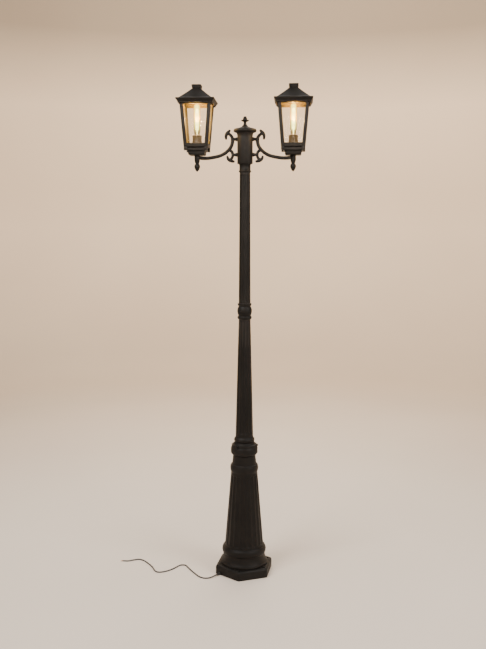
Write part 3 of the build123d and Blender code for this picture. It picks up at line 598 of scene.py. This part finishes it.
CONE_FLUTES = 20
SHAFT_FLUTES = 12
CONE_Z0, CONE_Z1, CONE_R0, CONE_R1 = 128.0, 478.0, 91.0, 62.0
cone_profile = outline(
    (76, PLATE_H), (110.5, PLATE_H), (111.5, 45), (111.5, 48.5), (110.6, 50.2), (108.2, 51.2),
    (101.6, 66, 98.2, 84), (98.4, 88.5), (99.6, 90), (104, 106, 99.2, 121.6), (97.4, 123.2), (93.2, 123.4),
    (92.4, 125), (91.6, 126.2, CONE_R0, CONE_Z0), (CONE_R1, CONE_Z1), (61.4, 482), (61.6, 485),
    (65.5, 503, 62, 520), (59.6, 521.4), (57.6, 522, 56.2, 525), (51.8, 565), (50.2, 567), (50, 599.5),
    (44, 599.5), (44, 530), (56, 470), (85, 130), (91, 96), (102, 52), (76, 52), arc_points=12)
cone_end = 0.7 * pi * CONE_R0 / CONE_FLUTES
cone_profile = with_rows(cone_profile[:-6], CONE_Z0 + 8, CONE_Z1 - 6, cone_end) + cone_profile[-6:]
fluted_cone = lathe(
    "cone_casting", cone_profile, cast_black, CONE_FLUTES * 14,
    flute=flutes(CONE_FLUTES, CONE_R0, CONE_Z0 + 8, CONE_R1, CONE_Z1 - 6, 0.72, 2.6))
place(fluted_cone, "post", "black_coat", "fluted_cone")

collar = lathe("collar_casting", outline(
    (50.2, 569.5), (56.5, 569), (58.5, 570), (63, 577.5), (63.2, 579), (63.2, 600.5), (62.6, 602),
    (60.2, 606), (59.6, 608.5), (59.4, 615.5), (58.6, 617.4), (54, 618.4, 48.6, 624.5), (47.6, 627.4),
    (46.4, 628), (39, 628), (39, 600), (50.2, 600), arc_points=8), cast_black, 96)
collar_cuts = []
COLLAR_SCREW_R, COLLAR_SCREW_Z = 58.5, 612.0
COLLAR_SCREW_ANGLES = [radians(-118 + 120 * k) for k in range(3)]
for k, angle in enumerate(COLLAR_SCREW_ANGLES):
    hole = lathe(f"collar_hole_{k}", [(0.1, 48), (6.6, 48), (6.6, 70), (0.1, 70)], cast_black, 32,
                 closed=False)
    hole.data.transform(Matrix.Translation(Vector((0, 0, COLLAR_SCREW_Z)) * MM)
                        @ Matrix.Rotation(angle, 4, "Z") @ Matrix.Rotation(pi / 2, 4, "Y"))
    collar_cuts.append(hole)
cut(collar, collar_cuts)
place(collar, "post", "black_coat", "clamp_collar")


def shaft(name, node, plain, z0, z1, r0, r1):
    """A fluted taper shaft; plain is its outline, whose long run is the fluted one."""
    end = 0.74 * pi * r0 / SHAFT_FLUTES
    profile = with_rows(plain, z0, z1, end)
    piece = lathe(name, profile, cast_black, SHAFT_FLUTES * 16, closed=True,
                  flute=flutes(SHAFT_FLUTES, r0, z0, r1, z1, 0.76, 1.9, radians(15)))
    return place(piece, "post", "black_coat", node)


LOWER_Z0, LOWER_Z1, LOWER_R0, LOWER_R1 = 660.0, 1222.0, 40.8, 26.6
lower_outline = outline(
    (34, 560), (38, 560), (38, 628.2), (44.4, 628.2), (45.2, 630), (48, 638.5, 45.4, 648), (43.8, 649.6),
    (42.6, 651), (41.6, 653, LOWER_R0, 658), (LOWER_R0, LOWER_Z0), (LOWER_R1, LOWER_Z1), (20, LOWER_Z1),
    (20, 1152), (34, LOWER_Z0), (34, 628))
lower_shaft = shaft("lower_shaft_casting", "lower_shaft", lower_outline[:-4],
                    LOWER_Z0 + 12, LOWER_Z1 - 10, LOWER_R0, LOWER_R1)
UPPER_Z0, UPPER_Z1, UPPER_R0, UPPER_R1 = 1297.0, 1904.0, 26.6, 23.3
upper_shaft = shaft("upper_shaft_casting", "upper_shaft",
                    [(20.2, UPPER_Z0), (UPPER_R0, UPPER_Z0), (UPPER_R1, UPPER_Z1), (18, UPPER_Z1)],
                    UPPER_Z0 + 10, UPPER_Z1 - 10, UPPER_R0, UPPER_R1)

coupling = lathe("coupling_casting", outline(
    (20, 1222), (28.6, 1222), (30.4, 1223.4), (33.6, 1230.5, 30.4, 1237.4), (28.6, 1239), (28.8, 1240.6),
    (34, 1260, 29.4, 1280), (28, 1281.6), (27.6, 1283), (28.8, 1284.6), (31.6, 1289.6), (32.4, 1292),
    (32, 1295.4), (30.4, 1297), (20, 1297), arc_points=12), cast_black, 96)
place(coupling, "post", "black_coat", "shaft_coupling")
ferrule = lathe("ferrule_casting", outline(
    (17.9, 1904), (25, 1904), (25.8, 1905), (28.4, 1909.4, 26, 1913.8), (26.2, 1915), (26.4, 1916.4),
    (25.6, 1918), (25.6, 1935.6), (26.4, 1937.2), (27.2, 1939.6), (27.2, 1945.8), (26.4, 1946.8),
    (17.9, 1946.8), arc_points=10), cast_black, 96)
place(ferrule, "post", "black_coat", "top_ferrule")

collar_screws = merge("collar_screw_heads", [
    hex_screw(f"collar_screw_{k}", (COLLAR_SCREW_R * cos(a), COLLAR_SCREW_R * sin(a), COLLAR_SCREW_Z),
              (cos(a), sin(a), 0), 5.5, 6.0, 2.9, screw_black)
    for k, a in enumerate(COLLAR_SCREW_ANGLES)])
place(collar_screws, "post", "black_screw", "collar_screws")
COUPLING_SCREW_R, COUPLING_SCREW_Z = 29.4, 1261.0
coupling_screws = merge("coupling_screw_heads", [
    hex_screw(f"coupling_screw_{k}", (COUPLING_SCREW_R * cos(a), COUPLING_SCREW_R * sin(a), COUPLING_SCREW_Z),
              (cos(a), sin(a), 0), 3.0, 3.2, 1.5, screw_black)
    for k, a in enumerate((radians(60), radians(240)))])
place(coupling_screws, "post", "black_screw", "coupling_screws")


# (height, lift) between which the lift of the column's mouldings runs evenly
COLUMN_LIFT = ((43.5, 0.0), (45.0, 4.0), (51.0, 5.0), (125.0, 5.0), (478.0, 9.0), (560.0, 9.5), (660.0, 9.5),
               (1222.0, 4.0), (1297.0, 4.0), (1904.0, 0.0))


def settle(piece, grow):
    """Moves the column's mouldings up a few millimetres to where they are seen, and grows its radius."""
    for vertex in piece.data.vertices:
        z = vertex.co.z / MM
        for (z0, lift0), (z1, lift1) in zip(COLUMN_LIFT, COLUMN_LIFT[1:]):
            if z0 <= z <= z1:
                vertex.co.z += (lift0 + (lift1 - lift0) * (z - z0) / (z1 - z0)) * MM
                break
        radius = hypot(vertex.co.x, vertex.co.y) / MM
        if radius > 15:
            vertex.co.x *= 1 + grow / radius
            vertex.co.y *= 1 + grow / radius


for piece, grow in ((fluted_cone, 1.5), (collar, 0.8), (lower_shaft, 1.0), (upper_shaft, 0.9),
                    (coupling, 0.4), (collar_screws, 0.8), (coupling_screws, 3.2)):
    settle(piece, grow)


# ---- hub ------------------------------------------------------------------------------------------
hub = lathe("hub_casting", outline(
    (17.9, 1947.4), (29, 1947.4), (29.4, 1943.6), (34, 1943.4), (35, 1944), (35.5, 1945.4), (35.5, 2062),
    (36, 2074, 39.4, 2083), (39.8, 2084), (30, 2084), (30, 2000), (17.9, 2000), arc_points=10),
    cast_black, 96)
place(hub, "head", "black_coat", "hub")
hub_cap = lathe("hub_cap_casting", outline(
    (0.2, 2084), (40.5, 2084), (43, 2084.6), (50.2, 2087.4), (51.6, 2088.4), (52.6, 2093.4, 50.4, 2099.4),
    (48, 2101), (38, 2103.6, 27.6, 2104.8), (26.6, 2105.4), (26.2, 2106.6), (25.4, 2107.8), (24, 2108.4),
    (18, 2110, 14.6, 2112), (0.2, 2112), arc_points=10), cast_black, 96, closed=False)
place(hub_cap, "head", "black_coat", "hub_cap")
hub_finial = lathe("hub_finial_casting", outline(
    (0.2, 2112), (13.6, 2112), (14.5, 2112.8), (14.2, 2114), (9.6, 2118, 6.7, 2124.6), (6.3, 2128),
    (6.8, 2131), (8.4, 2133), (12, 2134.4, 16.2, 2136.4), (18.4, 2138.8, 16.2, 2141.2),
    (12, 2142.4, 9.6, 2144.2), (8.8, 2146), (9.4, 2149, 7.2, 2152.6), (3, 2157.4, 0.2, 2158.2), arc_points=8),
    cast_black, 48, closed=False)
place(hub_finial, "head", "black_coat", "hub_finial")
HUB_SCREW_R, HUB_SCREW_Z = 33.4, 1962.0
hub_screws = merge("hub_screw_heads", [
    hex_screw(f"hub_screw_{k}", (HUB_SCREW_R * cos(a), HUB_SCREW_R * sin(a), HUB_SCREW_Z),
              (cos(a), sin(a), 0), 3.0, 2.2, 1.6, screw_black)
    for k, a in enumerate((pi / 2, pi / 2 + 2 * pi / 3, pi / 2 + 4 * pi / 3))])
place(hub_screws, "head", "black_screw", "hub_set_screws")


# ---- scroll arms ----------------------------------------------------------------------------------
def scroll_arm():
    """The right arm as one blended casting: bar, volute, lower scroll, leaf tips and bolt bosses."""
    def flat(*points):
        return [Vector((x, 0, z)) for x, z in points]

    parts = [
        bar("reach", smooth_path(flat((57.4, 2056), (57.2, 2046), (60.4, 2030), (67, 2016.5), (78, 2003.5),
                                      (96, 1989.5), (122, 1978.5), (164, 1970.6), (190, 1969.8),
                                      (213, 1972)), 12),
            lambda t: 8.0 + 0.5 * abs(2 * t - 1.0)**2, cast_black),
        bar("volute", smooth_path(flat((57.2, 2044), (57.6, 2056), (61, 2066.5), (68.5, 2075), (76, 2079.4),
                                       (84, 2080.6)), 10),
            lambda t: 8.1 - 1.7 * t, cast_black),
        bar("scroll", smooth_path(flat((77, 2008), (68, 2004.6), (59.4, 1997), (56.2, 1985.4), (58, 1974.6),
                                       (63.4, 1966.4), (70, 1960.6)), 10),
            lambda t: 7.2 - 1.0 * t, cast_black)]
    for k, tips in enumerate((((67.6, 2097), (74.6, 2089.6), (83.4, 2080.6), (87.6, 2068), (86.2, 2053)),
                              ((47.6, 1953.6), (58, 1956), (69.6, 1960), (78, 1967.4), (82.6, 1981)))):
        parts.append(bar(f"leaf_{k}", smooth_path(flat(*tips), 8), lambda t: 3.0 + 4.8 * sin(pi * t)**0.55,
                         cast_black, flat=0.92))
    for z in (2055.0, 1985.0):
        boss = outline((0.2, 34.9), (9, 34.9), (9.2, 38), (8.6, 41.6), (7.4, 44, 6.8, 47.6), (7, 57), (0.2, 57),
                       arc_points=5)
        piece = lathe("boss", boss, cast_black, 28, closed=False)
        piece.data.transform(Matrix.Translation(Vector((0, 0, z)) * MM) @ Matrix.Rotation(pi / 2, 4, "Y"))
        parts.append(piece)
    whole = merge("scroll_arm", parts)
    remesh = whole.modifiers.new("skin", "REMESH")
    remesh.mode = "VOXEL"
    remesh.voxel_size = 0.9 * MM
    soften = whole.modifiers.new("soften", "SMOOTH")
    soften.factor = 0.6
    soften.iterations = 6
    apply_modifiers(whole)
    socket_cut = lathe("socket_cut", [(0.1, 1940), (12.4, 1940), (12.4, 1995), (0.1, 1995)], cast_black, 48,
                       (LANTERN_X, 0), closed=False)
    cut(whole, [socket_cut])
    whole.data.shade_smooth()
    whole.data.set_sharp_from_angle(angle=radians(50))
    return whole


LANTERN_X = 221.0
right_arm = scroll_arm()
for side, sign in SIDES:
    arm = bpy.data.objects.new(f"scroll_arm_{side}", right_arm.data.copy())
    scene.collection.objects.link(arm)
    if sign < 0:
        arm.data.transform(Matrix.Scale(-1, 4, (1, 0, 0)))
        arm.data.flip_normals()
    place(arm, "head", "black_coat", f"arm_{side}")
    centre = (sign * LANTERN_X, 0)
    socket = lathe(f"socket_casting_{side}", outline(
        (5.1, 1948), (8.8, 1948), (9.6, 1948.8), (10.6, 1953), (12.2, 1959), (12.5, 1961), (12.5, 1978.4),
        (13, 1979), (14, 1980.8, 13, 1982.4), (5.1, 1982.6), arc_points=6), cast_black, 48, centre)
    place(socket, "head", "black_coat", f"arm_socket_{side}")
    drop = lathe(f"drop_finial_casting_{side}", outline(
        (0.2, 1953.9), (5, 1953.9), (5, 1948), (8.8, 1948), (9, 1947.4), (8.2, 1946.2), (8, 1945),
        (13.2, 1935, 11.2, 1924), (7, 1915.2, 1.6, 1909.4), (0.2, 1908.6),
        arc_points=10), cast_black, 40, centre, closed=False)
    place(drop, "head", "black_coat", f"drop_finial_{side}")
bpy.data.objects.remove(right_arm)


# ---- lanterns -------------------------------------------------------------------------------------
CAGE_Z0, CAGE_Z1, CAGE_W0, CAGE_W1 = 2018.0, 2218.0, 55.2, 71.7
CAGE_WALL, POST_WIDTH = 5.6, 16.0
WINDOW_Z0, WINDOW_Z1 = 2034.0, 2206.0
SKIRT_Z0, SKIRT_Z1, SKIRT_W0, SKIRT_W1 = 2210.0, 2230.0, 77.6, 87.5
PYRAMID_W0, PYRAMID_W1, PYRAMID_Z1 = 75.0, 19.5, 2281.0
ROOF_ROOM_W, ROOF_FRAME_W = 63.5, 69.6
QUARTER = pi / 4
# kind, power, colour and height of the light in each bulb: all round, and thrown up into the roof
BULB_LIGHTS = (("POINT", 13.0, (1.0, 0.62, 0.26), 2150), ("SPOT", 400.0, (1.0, 0.42, 0.04), 2136))
ROOF_SPOT_ANGLE = radians(94)


def cage_half(z):
    return CAGE_W0 + (CAGE_W1 - CAGE_W0) * (z - CAGE_Z0) / (CAGE_Z1 - CAGE_Z0)


def lantern_cage(name, x):
    """Four tapering corner posts between a sill, a floor and a top rail, on four small feet."""
    def rail(label, z0, z1, thick):
        profile = [(cage_half(z0) - thick, z0), (cage_half(z0) - 0.8, z0), (cage_half(z0), z0 + 0.8),
                   (cage_half(z1), z1 - 0.8), (cage_half(z1) - 0.8, z1), (cage_half(z1) - thick, z1)]
        return polygon_lathe(label, profile, 4, QUARTER, 1.2, cast_black, (x, 0))

    parts = [rail("sill", CAGE_Z0, WINDOW_Z0, CAGE_WALL), rail("top", WINDOW_Z1, CAGE_Z1, CAGE_WALL)]
    floor = polygon_lathe(
        "floor", [(5.2, CAGE_Z0 + 0.2), (50.2, CAGE_Z0 + 0.2), (50.4, CAGE_Z0 + 4), (5.2, CAGE_Z0 + 4)],
        4, QUARTER, 1.0, cast_black, (x, 0))
    parts.append(floor)
    for sx in (-1, 1):
        for sy in (-1, 1):
            rings = []
            for z in (CAGE_Z0 + 1, CAGE_Z1 - 1):
                w = cage_half(z)
                wall, post = w - CAGE_WALL, w - POST_WIDTH
                corner = [(w, w), (post, w), (post, wall), (wall, wall), (wall, post), (w, post)]
                rings.append([(x + sx * a, sy * b, z) for a, b in corner])
            parts.append(round_edges(prism("post", *rings, cast_black), 0.9))
            foot = [(x + sx * a, sy * b) for a, b in ((54.8, 54.8), (39.8, 54.8), (39.8, 47.8), (47.8, 47.8),
                                                      (47.8, 39.8), (54.8, 39.8))]
            parts.append(round_edges(prism("foot", [(*p, CAGE_Z0 - 15.9) for p in foot],
                                           [(*p, CAGE_Z0 + 1) for p in foot], cast_black), 0.8))
    return merge(name, parts)


def roof_ring(x, half, z, steps=6):
    """A square ring, with the same number of points along each side."""
    ring = []
    for k in range(4):
        along = Vector((-sin(k * pi / 2), cos(k * pi / 2)))
        out = Vector((cos(k * pi / 2), sin(k * pi / 2)))
        for i in range(steps):
            spot = out * half + along * half * (2 * i / steps - 1)
            ring.append((x + spot.x, spot.y, z))
    return ring


def lantern_roof(name, x):
    """Pressed sheet roof: flared skirt with a folded lip, rolled brim, pyramid and its locating frame."""
    outer = [(SKIRT_W0 - 1.0, SKIRT_Z0), (SKIRT_W0 + 0.4, SKIRT_Z0 + 0.2), (SKIRT_W0 + 1.4, SKIRT_Z0 + 2.4),
             (SKIRT_W0 + 1.0, SKIRT_Z0 + 3.4), (SKIRT_W1 - 3.6, SKIRT_Z1 - 6.6),
             (SKIRT_W1 - 0.9, SKIRT_Z1 - 4.6), (SKIRT_W1 - 0.1, SKIRT_Z1 - 3.0), (SKIRT_W1, SKIRT_Z1 - 0.6),
             (SKIRT_W1 - 0.4, SKIRT_Z1 + 0.9), (SKIRT_W1 - 1.8, SKIRT_Z1 + 1.8),
             (PYRAMID_W0 + 2.4, SKIRT_Z1 + 2.1), (PYRAMID_W0 + 0.4, SKIRT_Z1 + 2.8)]
    rise = PYRAMID_Z1 - SKIRT_Z1 - 2.8
    outer += [(PYRAMID_W0 + (PYRAMID_W1 - PYRAMID_W0) * k / 8 - 0.9 * sin(pi * k / 8),
               SKIRT_Z1 + 2.8 + rise * k / 8) for k in range(1, 9)]
    inner = [(4, PYRAMID_Z1), (4, PYRAMID_Z1 - 3), (PYRAMID_W1 - 2.6, PYRAMID_Z1 - 3),
             (PYRAMID_W0 - 3.4, SKIRT_Z1 + 1.9), (ROOF_ROOM_W, SKIRT_Z1 + 1.9), (ROOF_ROOM_W, CAGE_Z1 + 0.4),
             (ROOF_FRAME_W, CAGE_Z1 + 0.4), (ROOF_FRAME_W, SKIRT_Z1 - 2.6), (SKIRT_W1 - 5.0, SKIRT_Z1 - 3.4),
             (SKIRT_W0 - 2.2, SKIRT_Z0 + 0.3)]
    rings = [roof_ring(x, half, z) for half, z in outer + inner]
    roof = mesh_piece(name, *rings_mesh(rings, True), sheet_black, 28.0)
    return round_edges(roof, 0.9, 3, 40.0)


def threaded_base(name, x):
    """Brass screw shell with its rolled thread, a lip and the centre contact."""
    rings = []
    for row in range(64):
        z = 2050.5 + 22.0 * row / 63
        ring = []
        for i in range(48):
            angle = 2 * pi * i / 48
            wave = 0.75 * cos(2 * pi * (z - 2050.5) / 3.6 - angle)
            r = 12.25 + wave * min(1.0, row / 4, (63 - row) / 4)
            ring.append((x + r * cos(angle), r * sin(angle), z))
        rings.append(ring)
    thread = mesh_piece("thread", *rings_mesh(rings, False), brass, 60.0)
    tip = lathe("tip", outline((0.2, 2044), (4.2, 2044), (4.5, 2044.6), (4.6, 2046), (9.6, 2050),
                               (12, 2050.6), (0.2, 2050.6)), brass, 40, (x, 0), closed=False)
    lip = lathe("lip", outline((12.3, 2072), (12.9, 2072.4), (13, 2075), (12.6, 2077), (12.2, 2077),
                               (12.2, 2072)), brass, 48, (x, 0))
    return merge(name, [thread, tip, lip])


def filament_cage(name, x):
    """Glass stem, centre support and six glowing strands in a slender cage, with two disc hubs."""
    stem = lathe("stem", outline((0.2, 2060.2), (7.6, 2060.2), (3.4, 2070, 2.4, 2090), (2.2, 2096),
                                 (0.2, 2096)), filament_glow, 24, (x, 0), closed=False)
    rod = lathe("rod", [(0.1, 2096), (0.8, 2096), (0.8, 2194), (0.1, 2194)], filament_glow, 12, (x, 0),
                closed=False)
    parts = [stem, rod]
    for z in (2098.0, 2189.0):
        disc = outline((0.2, z), (6.0, z), (6.4, z + 0.8, 6.0, z + 1.6), (0.2, z + 1.6), arc_points=4)
        parts.append(lathe("hub", disc, filament_glow, 24, (x, 0), closed=False))
    for k in range(6):
        turn = k * pi / 3
        strand = []
        for i in range(47):
            t = i / 46
            angle = turn + 0.9 * sin(pi * t)
            r = 5.6 + 0.6 * sin(pi * t)
            strand.append(Vector((x + r * cos(angle), r * sin(angle), 2099 + 90 * t)))
        wire = [Vector((0.7 * cos(2 * pi * j / 8), 0.7 * sin(2 * pi * j / 8), 0)) for j in range(8)]
        rings = [[tuple(p + around) for around in wire] for p in strand]
        parts.append(mesh_piece("strand", *rings_mesh(rings, False), filament_glow))
    return merge(name, parts)


for side, sign in SIDES:
    x = sign * LANTERN_X
    body = f"lantern_{side}"
    base = polygon_lathe(f"lantern_base_casting_{side}", outline(
        (5.2, 1983), (33.6, 1983), (35.5, 1984), (36.6, 1986, 37.5, 1989), (37.5, 1993.5), (38.4, 1995),
        (39, 1999.5, 43, 2001.5), (46.4, 2002.2), (47.5, 2003.6), (47.5, 2013.4), (46.8, 2014.6), (44.2, 2015),
        (44.2, 2018.1), (5.2, 2018.1), arc_points=5), 4, QUARTER, 1.6, cast_black, (x, 0))
    place(base, body, "black_coat", f"lantern_base_{side}")
    place(lantern_cage(f"cage_casting_{side}", x), body, "black_coat", f"lantern_cage_{side}")
    holder = lathe(f"holder_moulding_{side}", outline(
        (9, 2022.1), (21.2, 2022.1), (22, 2023), (22, 2047), (21.4, 2048.6), (20.6, 2050), (20.5, 2053.4),
        (21.1, 2054), (21.1, 2056), (20.5, 2056.6), (20.5, 2059), (21.1, 2059.6), (21.1, 2061.6),
        (20.5, 2062.2), (20.5, 2064.4), (21.6, 2066), (21.6, 2071), (20.8, 2072), (15, 2072), (14, 2071),
        (14, 2040), (3.6, 2040), (3.6, 2034), (9, 2034)), holder_black, 64, (x, 0))
    place(holder, body, "holder_plastic", f"lamp_holder_{side}")
    roof = lantern_roof(f"roof_sheet_{side}", x)
    place(roof, f"roof_{side}", "black_sheet", f"roof_{side}")
    cap = polygon_lathe(f"roof_cap_casting_{side}", outline(
        (0.3, 2281), (18.6, 2281), (19, 2281.6), (19, 2283.2), (20.4, 2284), (21, 2285), (21, 2290),
        (21.5, 2291), (22, 2292), (22, 2297), (21.4, 2298.4), (19, 2300), (0.3, 2300)), 4, QUARTER, 1.4,
        sheet_black, (x, 0),
        closed=False)
    place(cap, f"roof_{side}", "black_sheet", f"roof_cap_{side}")
    screws = merge(f"roof_screw_heads_{side}", [
        hex_screw(f"roof_screw_{k}", (x + reach * 79.4, 50, 2214.5), (reach, 0, 0), 3.2, 2.7, 1.5,
                  screw_black)
        for k, reach in enumerate((1, -1))])
    place(screws, f"roof_{side}", "black_screw", f"roof_screws_{side}")
    place(threaded_base(f"bulb_shell_{side}", x), f"bulb_{side}", "contact_brass", f"bulb_base_{side}")
    glass = lathe(f"bulb_envelope_{side}", outline(
        (11.2, 2062), (12.1, 2062), (12.1, 2079), (12.6, 2085, 15, 2096), (15, 2202), (15 * sin(QUARTER),
        2202 + 15 * cos(QUARTER), 0.2, 2217), (0.2, 2216), (14 * sin(QUARTER), 2202 + 14 * cos(QUARTER), 14,
        2202),
        (14, 2096.4), (11.8, 2086, 11.2, 2079), arc_points=14), bulb_clear, 64, (x, 0))
    place(glass, f"bulb_{side}", "bulb_clear_glass", f"bulb_glass_{side}")
    place(filament_cage(f"filament_cage_{side}", x), f"bulb_{side}", "glowing_wire", f"bulb_filament_{side}")
    lamp = bpy.data.lights.new(f"bulb_light_{side}", "POINT")
    for kind, energy, colour, height in BULB_LIGHTS:
        lamp = bpy.data.lights.new(f"bulb_light_{side}_{kind.lower()}", kind)
        lamp.energy = energy
        lamp.color = colour
        lamp.shadow_soft_size = 0.012
        lamp_object = bpy.data.objects.new(lamp.name, lamp)
        lamp_object.location = Vector((x, 0, height)) * MM
        if kind == "SPOT":
            lamp.spot_size = ROOF_SPOT_ANGLE
            lamp.spot_blend = 0.25
            lamp_object.rotation_euler = (pi, 0, 0)
        lamp_object.visible_camera = False
        scene.collection.objects.link(lamp_object)
        lamp_object.parent = frame["bodies"][f"bulb_{side}"]


# ---- carried-over CAD nodes -----------------------------------------------------------------------
slot_of = {entry["node"]: entry["material_slot"] for entry in frame["record"]["subparts"]}
slot_material = {
    "black_coat": cast_black, "black_sheet": sheet_black, "black_screw": screw_black, "zinc_steel": zinc,
    "terminal_plastic": terminal_white, "cord_sheath": cord_black, "core_insulation": core_brown,
    "clear_glass": pane_glass, "holder_plastic": holder_black, "contact_brass": brass,
    "bulb_clear_glass": bulb_clear, "glowing_wire": filament_glow}
for node_name, node_object in frame["nodes"].items():
    node_object.data.materials.clear()
    node_object.data.materials.append(slot_material[slot_of[node_name]])


# ---- studio ---------------------------------------------------------------------------------------
def studio_bowl():
    """A round seamless sweep: flat floor that curves up into a wall all the way round."""
    floor_r, cove, wall_top = 5.2, 2.2, 6.5
    profile = [(0.01, 0.0)] + [(floor_r * k / 12, 0.0) for k in range(1, 13)]
    curve = [pi / 2 * k / 16 for k in range(1, 17)]
    profile += [(floor_r + cove * sin(a), cove - cove * cos(a)) for a in curve]
    profile += [(floor_r + cove, wall_top)]
    verts, faces = [], []
    count = 96
    for r, z in profile:
        verts += [(r / MM * cos(2 * pi * i / count), r / MM * sin(2 * pi * i / count), z / MM)
                  for i in range(count)]
    for k in range(len(profile) - 1):
        low, high = k * count, (k + 1) * count
        faces += [(low + i, low + (i + 1) % count, high + (i + 1) % count, high + i) for i in range(count)]
    faces.append(tuple(range(count)))
    paper = Finish("studio_paper", Roughness=0.85, Specular_IOR_Level=0.2)
    patches = paper.ramp(paper.noise(0.7, 2.0), 0.3, 0.7)
    floor_tone = paper.mix(patches, (0.670, 0.585, 0.500), (0.700, 0.615, 0.530))
    wall_tone = paper.mix(patches, (0.655, 0.545, 0.430), (0.685, 0.575, 0.455))
    split = paper.node("SeparateXYZ")
    paper.join(paper.place(), split.inputs[0])
    flat_place = paper.node("CombineXYZ")
    paper.join(split.outputs["X"], flat_place.inputs[0])
    paper.join(split.outputs["Y"], flat_place.inputs[1])
    reach = paper.node("VectorMath", operation="LENGTH")
    paper.join(flat_place.outputs[0], reach.inputs[0])
    tone = paper.mix(paper.ramp(reach.outputs["Value"], 1.5, 5.0), floor_tone, wall_tone)
    # painted light and shade on the paper: brighter towards the middle and up to about 1.7 m, darker far out
    # and above 3.3 m
    shade = paper.times(paper.ramp(reach.outputs["Value"], 1.0, 4.2, 1.10, 0.76),
                        paper.ramp(split.outputs["Z"], 0.2, 1.7, 1.0, 1.36))
    shade = paper.times(shade, paper.ramp(split.outputs["Z"], 3.3, 4.3, 1.0, 0.46))
    scaled = paper.node("VectorMath", operation="SCALE")
    paper.join(tone, scaled.inputs[0])
    paper.join(shade, scaled.inputs["Scale"])
    paper.set("Base Color", scaled.outputs[0])
    bowl = mesh_piece("studio_bowl", verts, faces, paper.material, 60.0)


def softbox(name, where, target, size, energy, colour=(1, 1, 1), spread=180.0):
    light = bpy.data.lights.new(name, "AREA")
    light.shape = "RECTANGLE"
    light.size, light.size_y = size
    light.energy = energy
    light.color = colour
    light.spread = radians(spread)
    box = bpy.data.objects.new(name, light)
    box.location = where
    box.rotation_euler = (Vector(target) - Vector(where)).to_track_quat("-Z", "Y").to_euler()
    box.visible_camera = False
    scene.collection.objects.link(box)


studio_bowl()
softbox("key_left", (-2.6, -3.0, 4.4), (0, 0, 1.2), (2.4, 2.4), 240, (1.0, 0.97, 0.93))
softbox("fill_right", (3.4, -2.2, 3.0), (0, 0, 1.2), (2.0, 2.6), 130, (1.0, 0.97, 0.94))
softbox("front_top", (0.2, -2.5, 2.7), (0, 0, 2.05), (1.7, 0.8), 7, (1.0, 0.84, 0.68), 50.0)
softbox("back_high", (0.4, 3.6, 5.0), (0, 0.6, 1.4), (3.4, 2.0), 110, (1.0, 0.95, 0.90))
softbox("wall_wash", (0.2, 3.4, 5.2), (0.3, 7.4, 1.9), (4.0, 1.2), 400, (1.0, 0.80, 0.58))
world = bpy.data.worlds.new("studio_world")
world.use_nodes = True
world.node_tree.nodes["Background"].inputs["Color"].default_value = (1.0, 0.95, 0.89, 1.0)
world.node_tree.nodes["Background"].inputs["Strength"].default_value = 0.85
scene.world = world
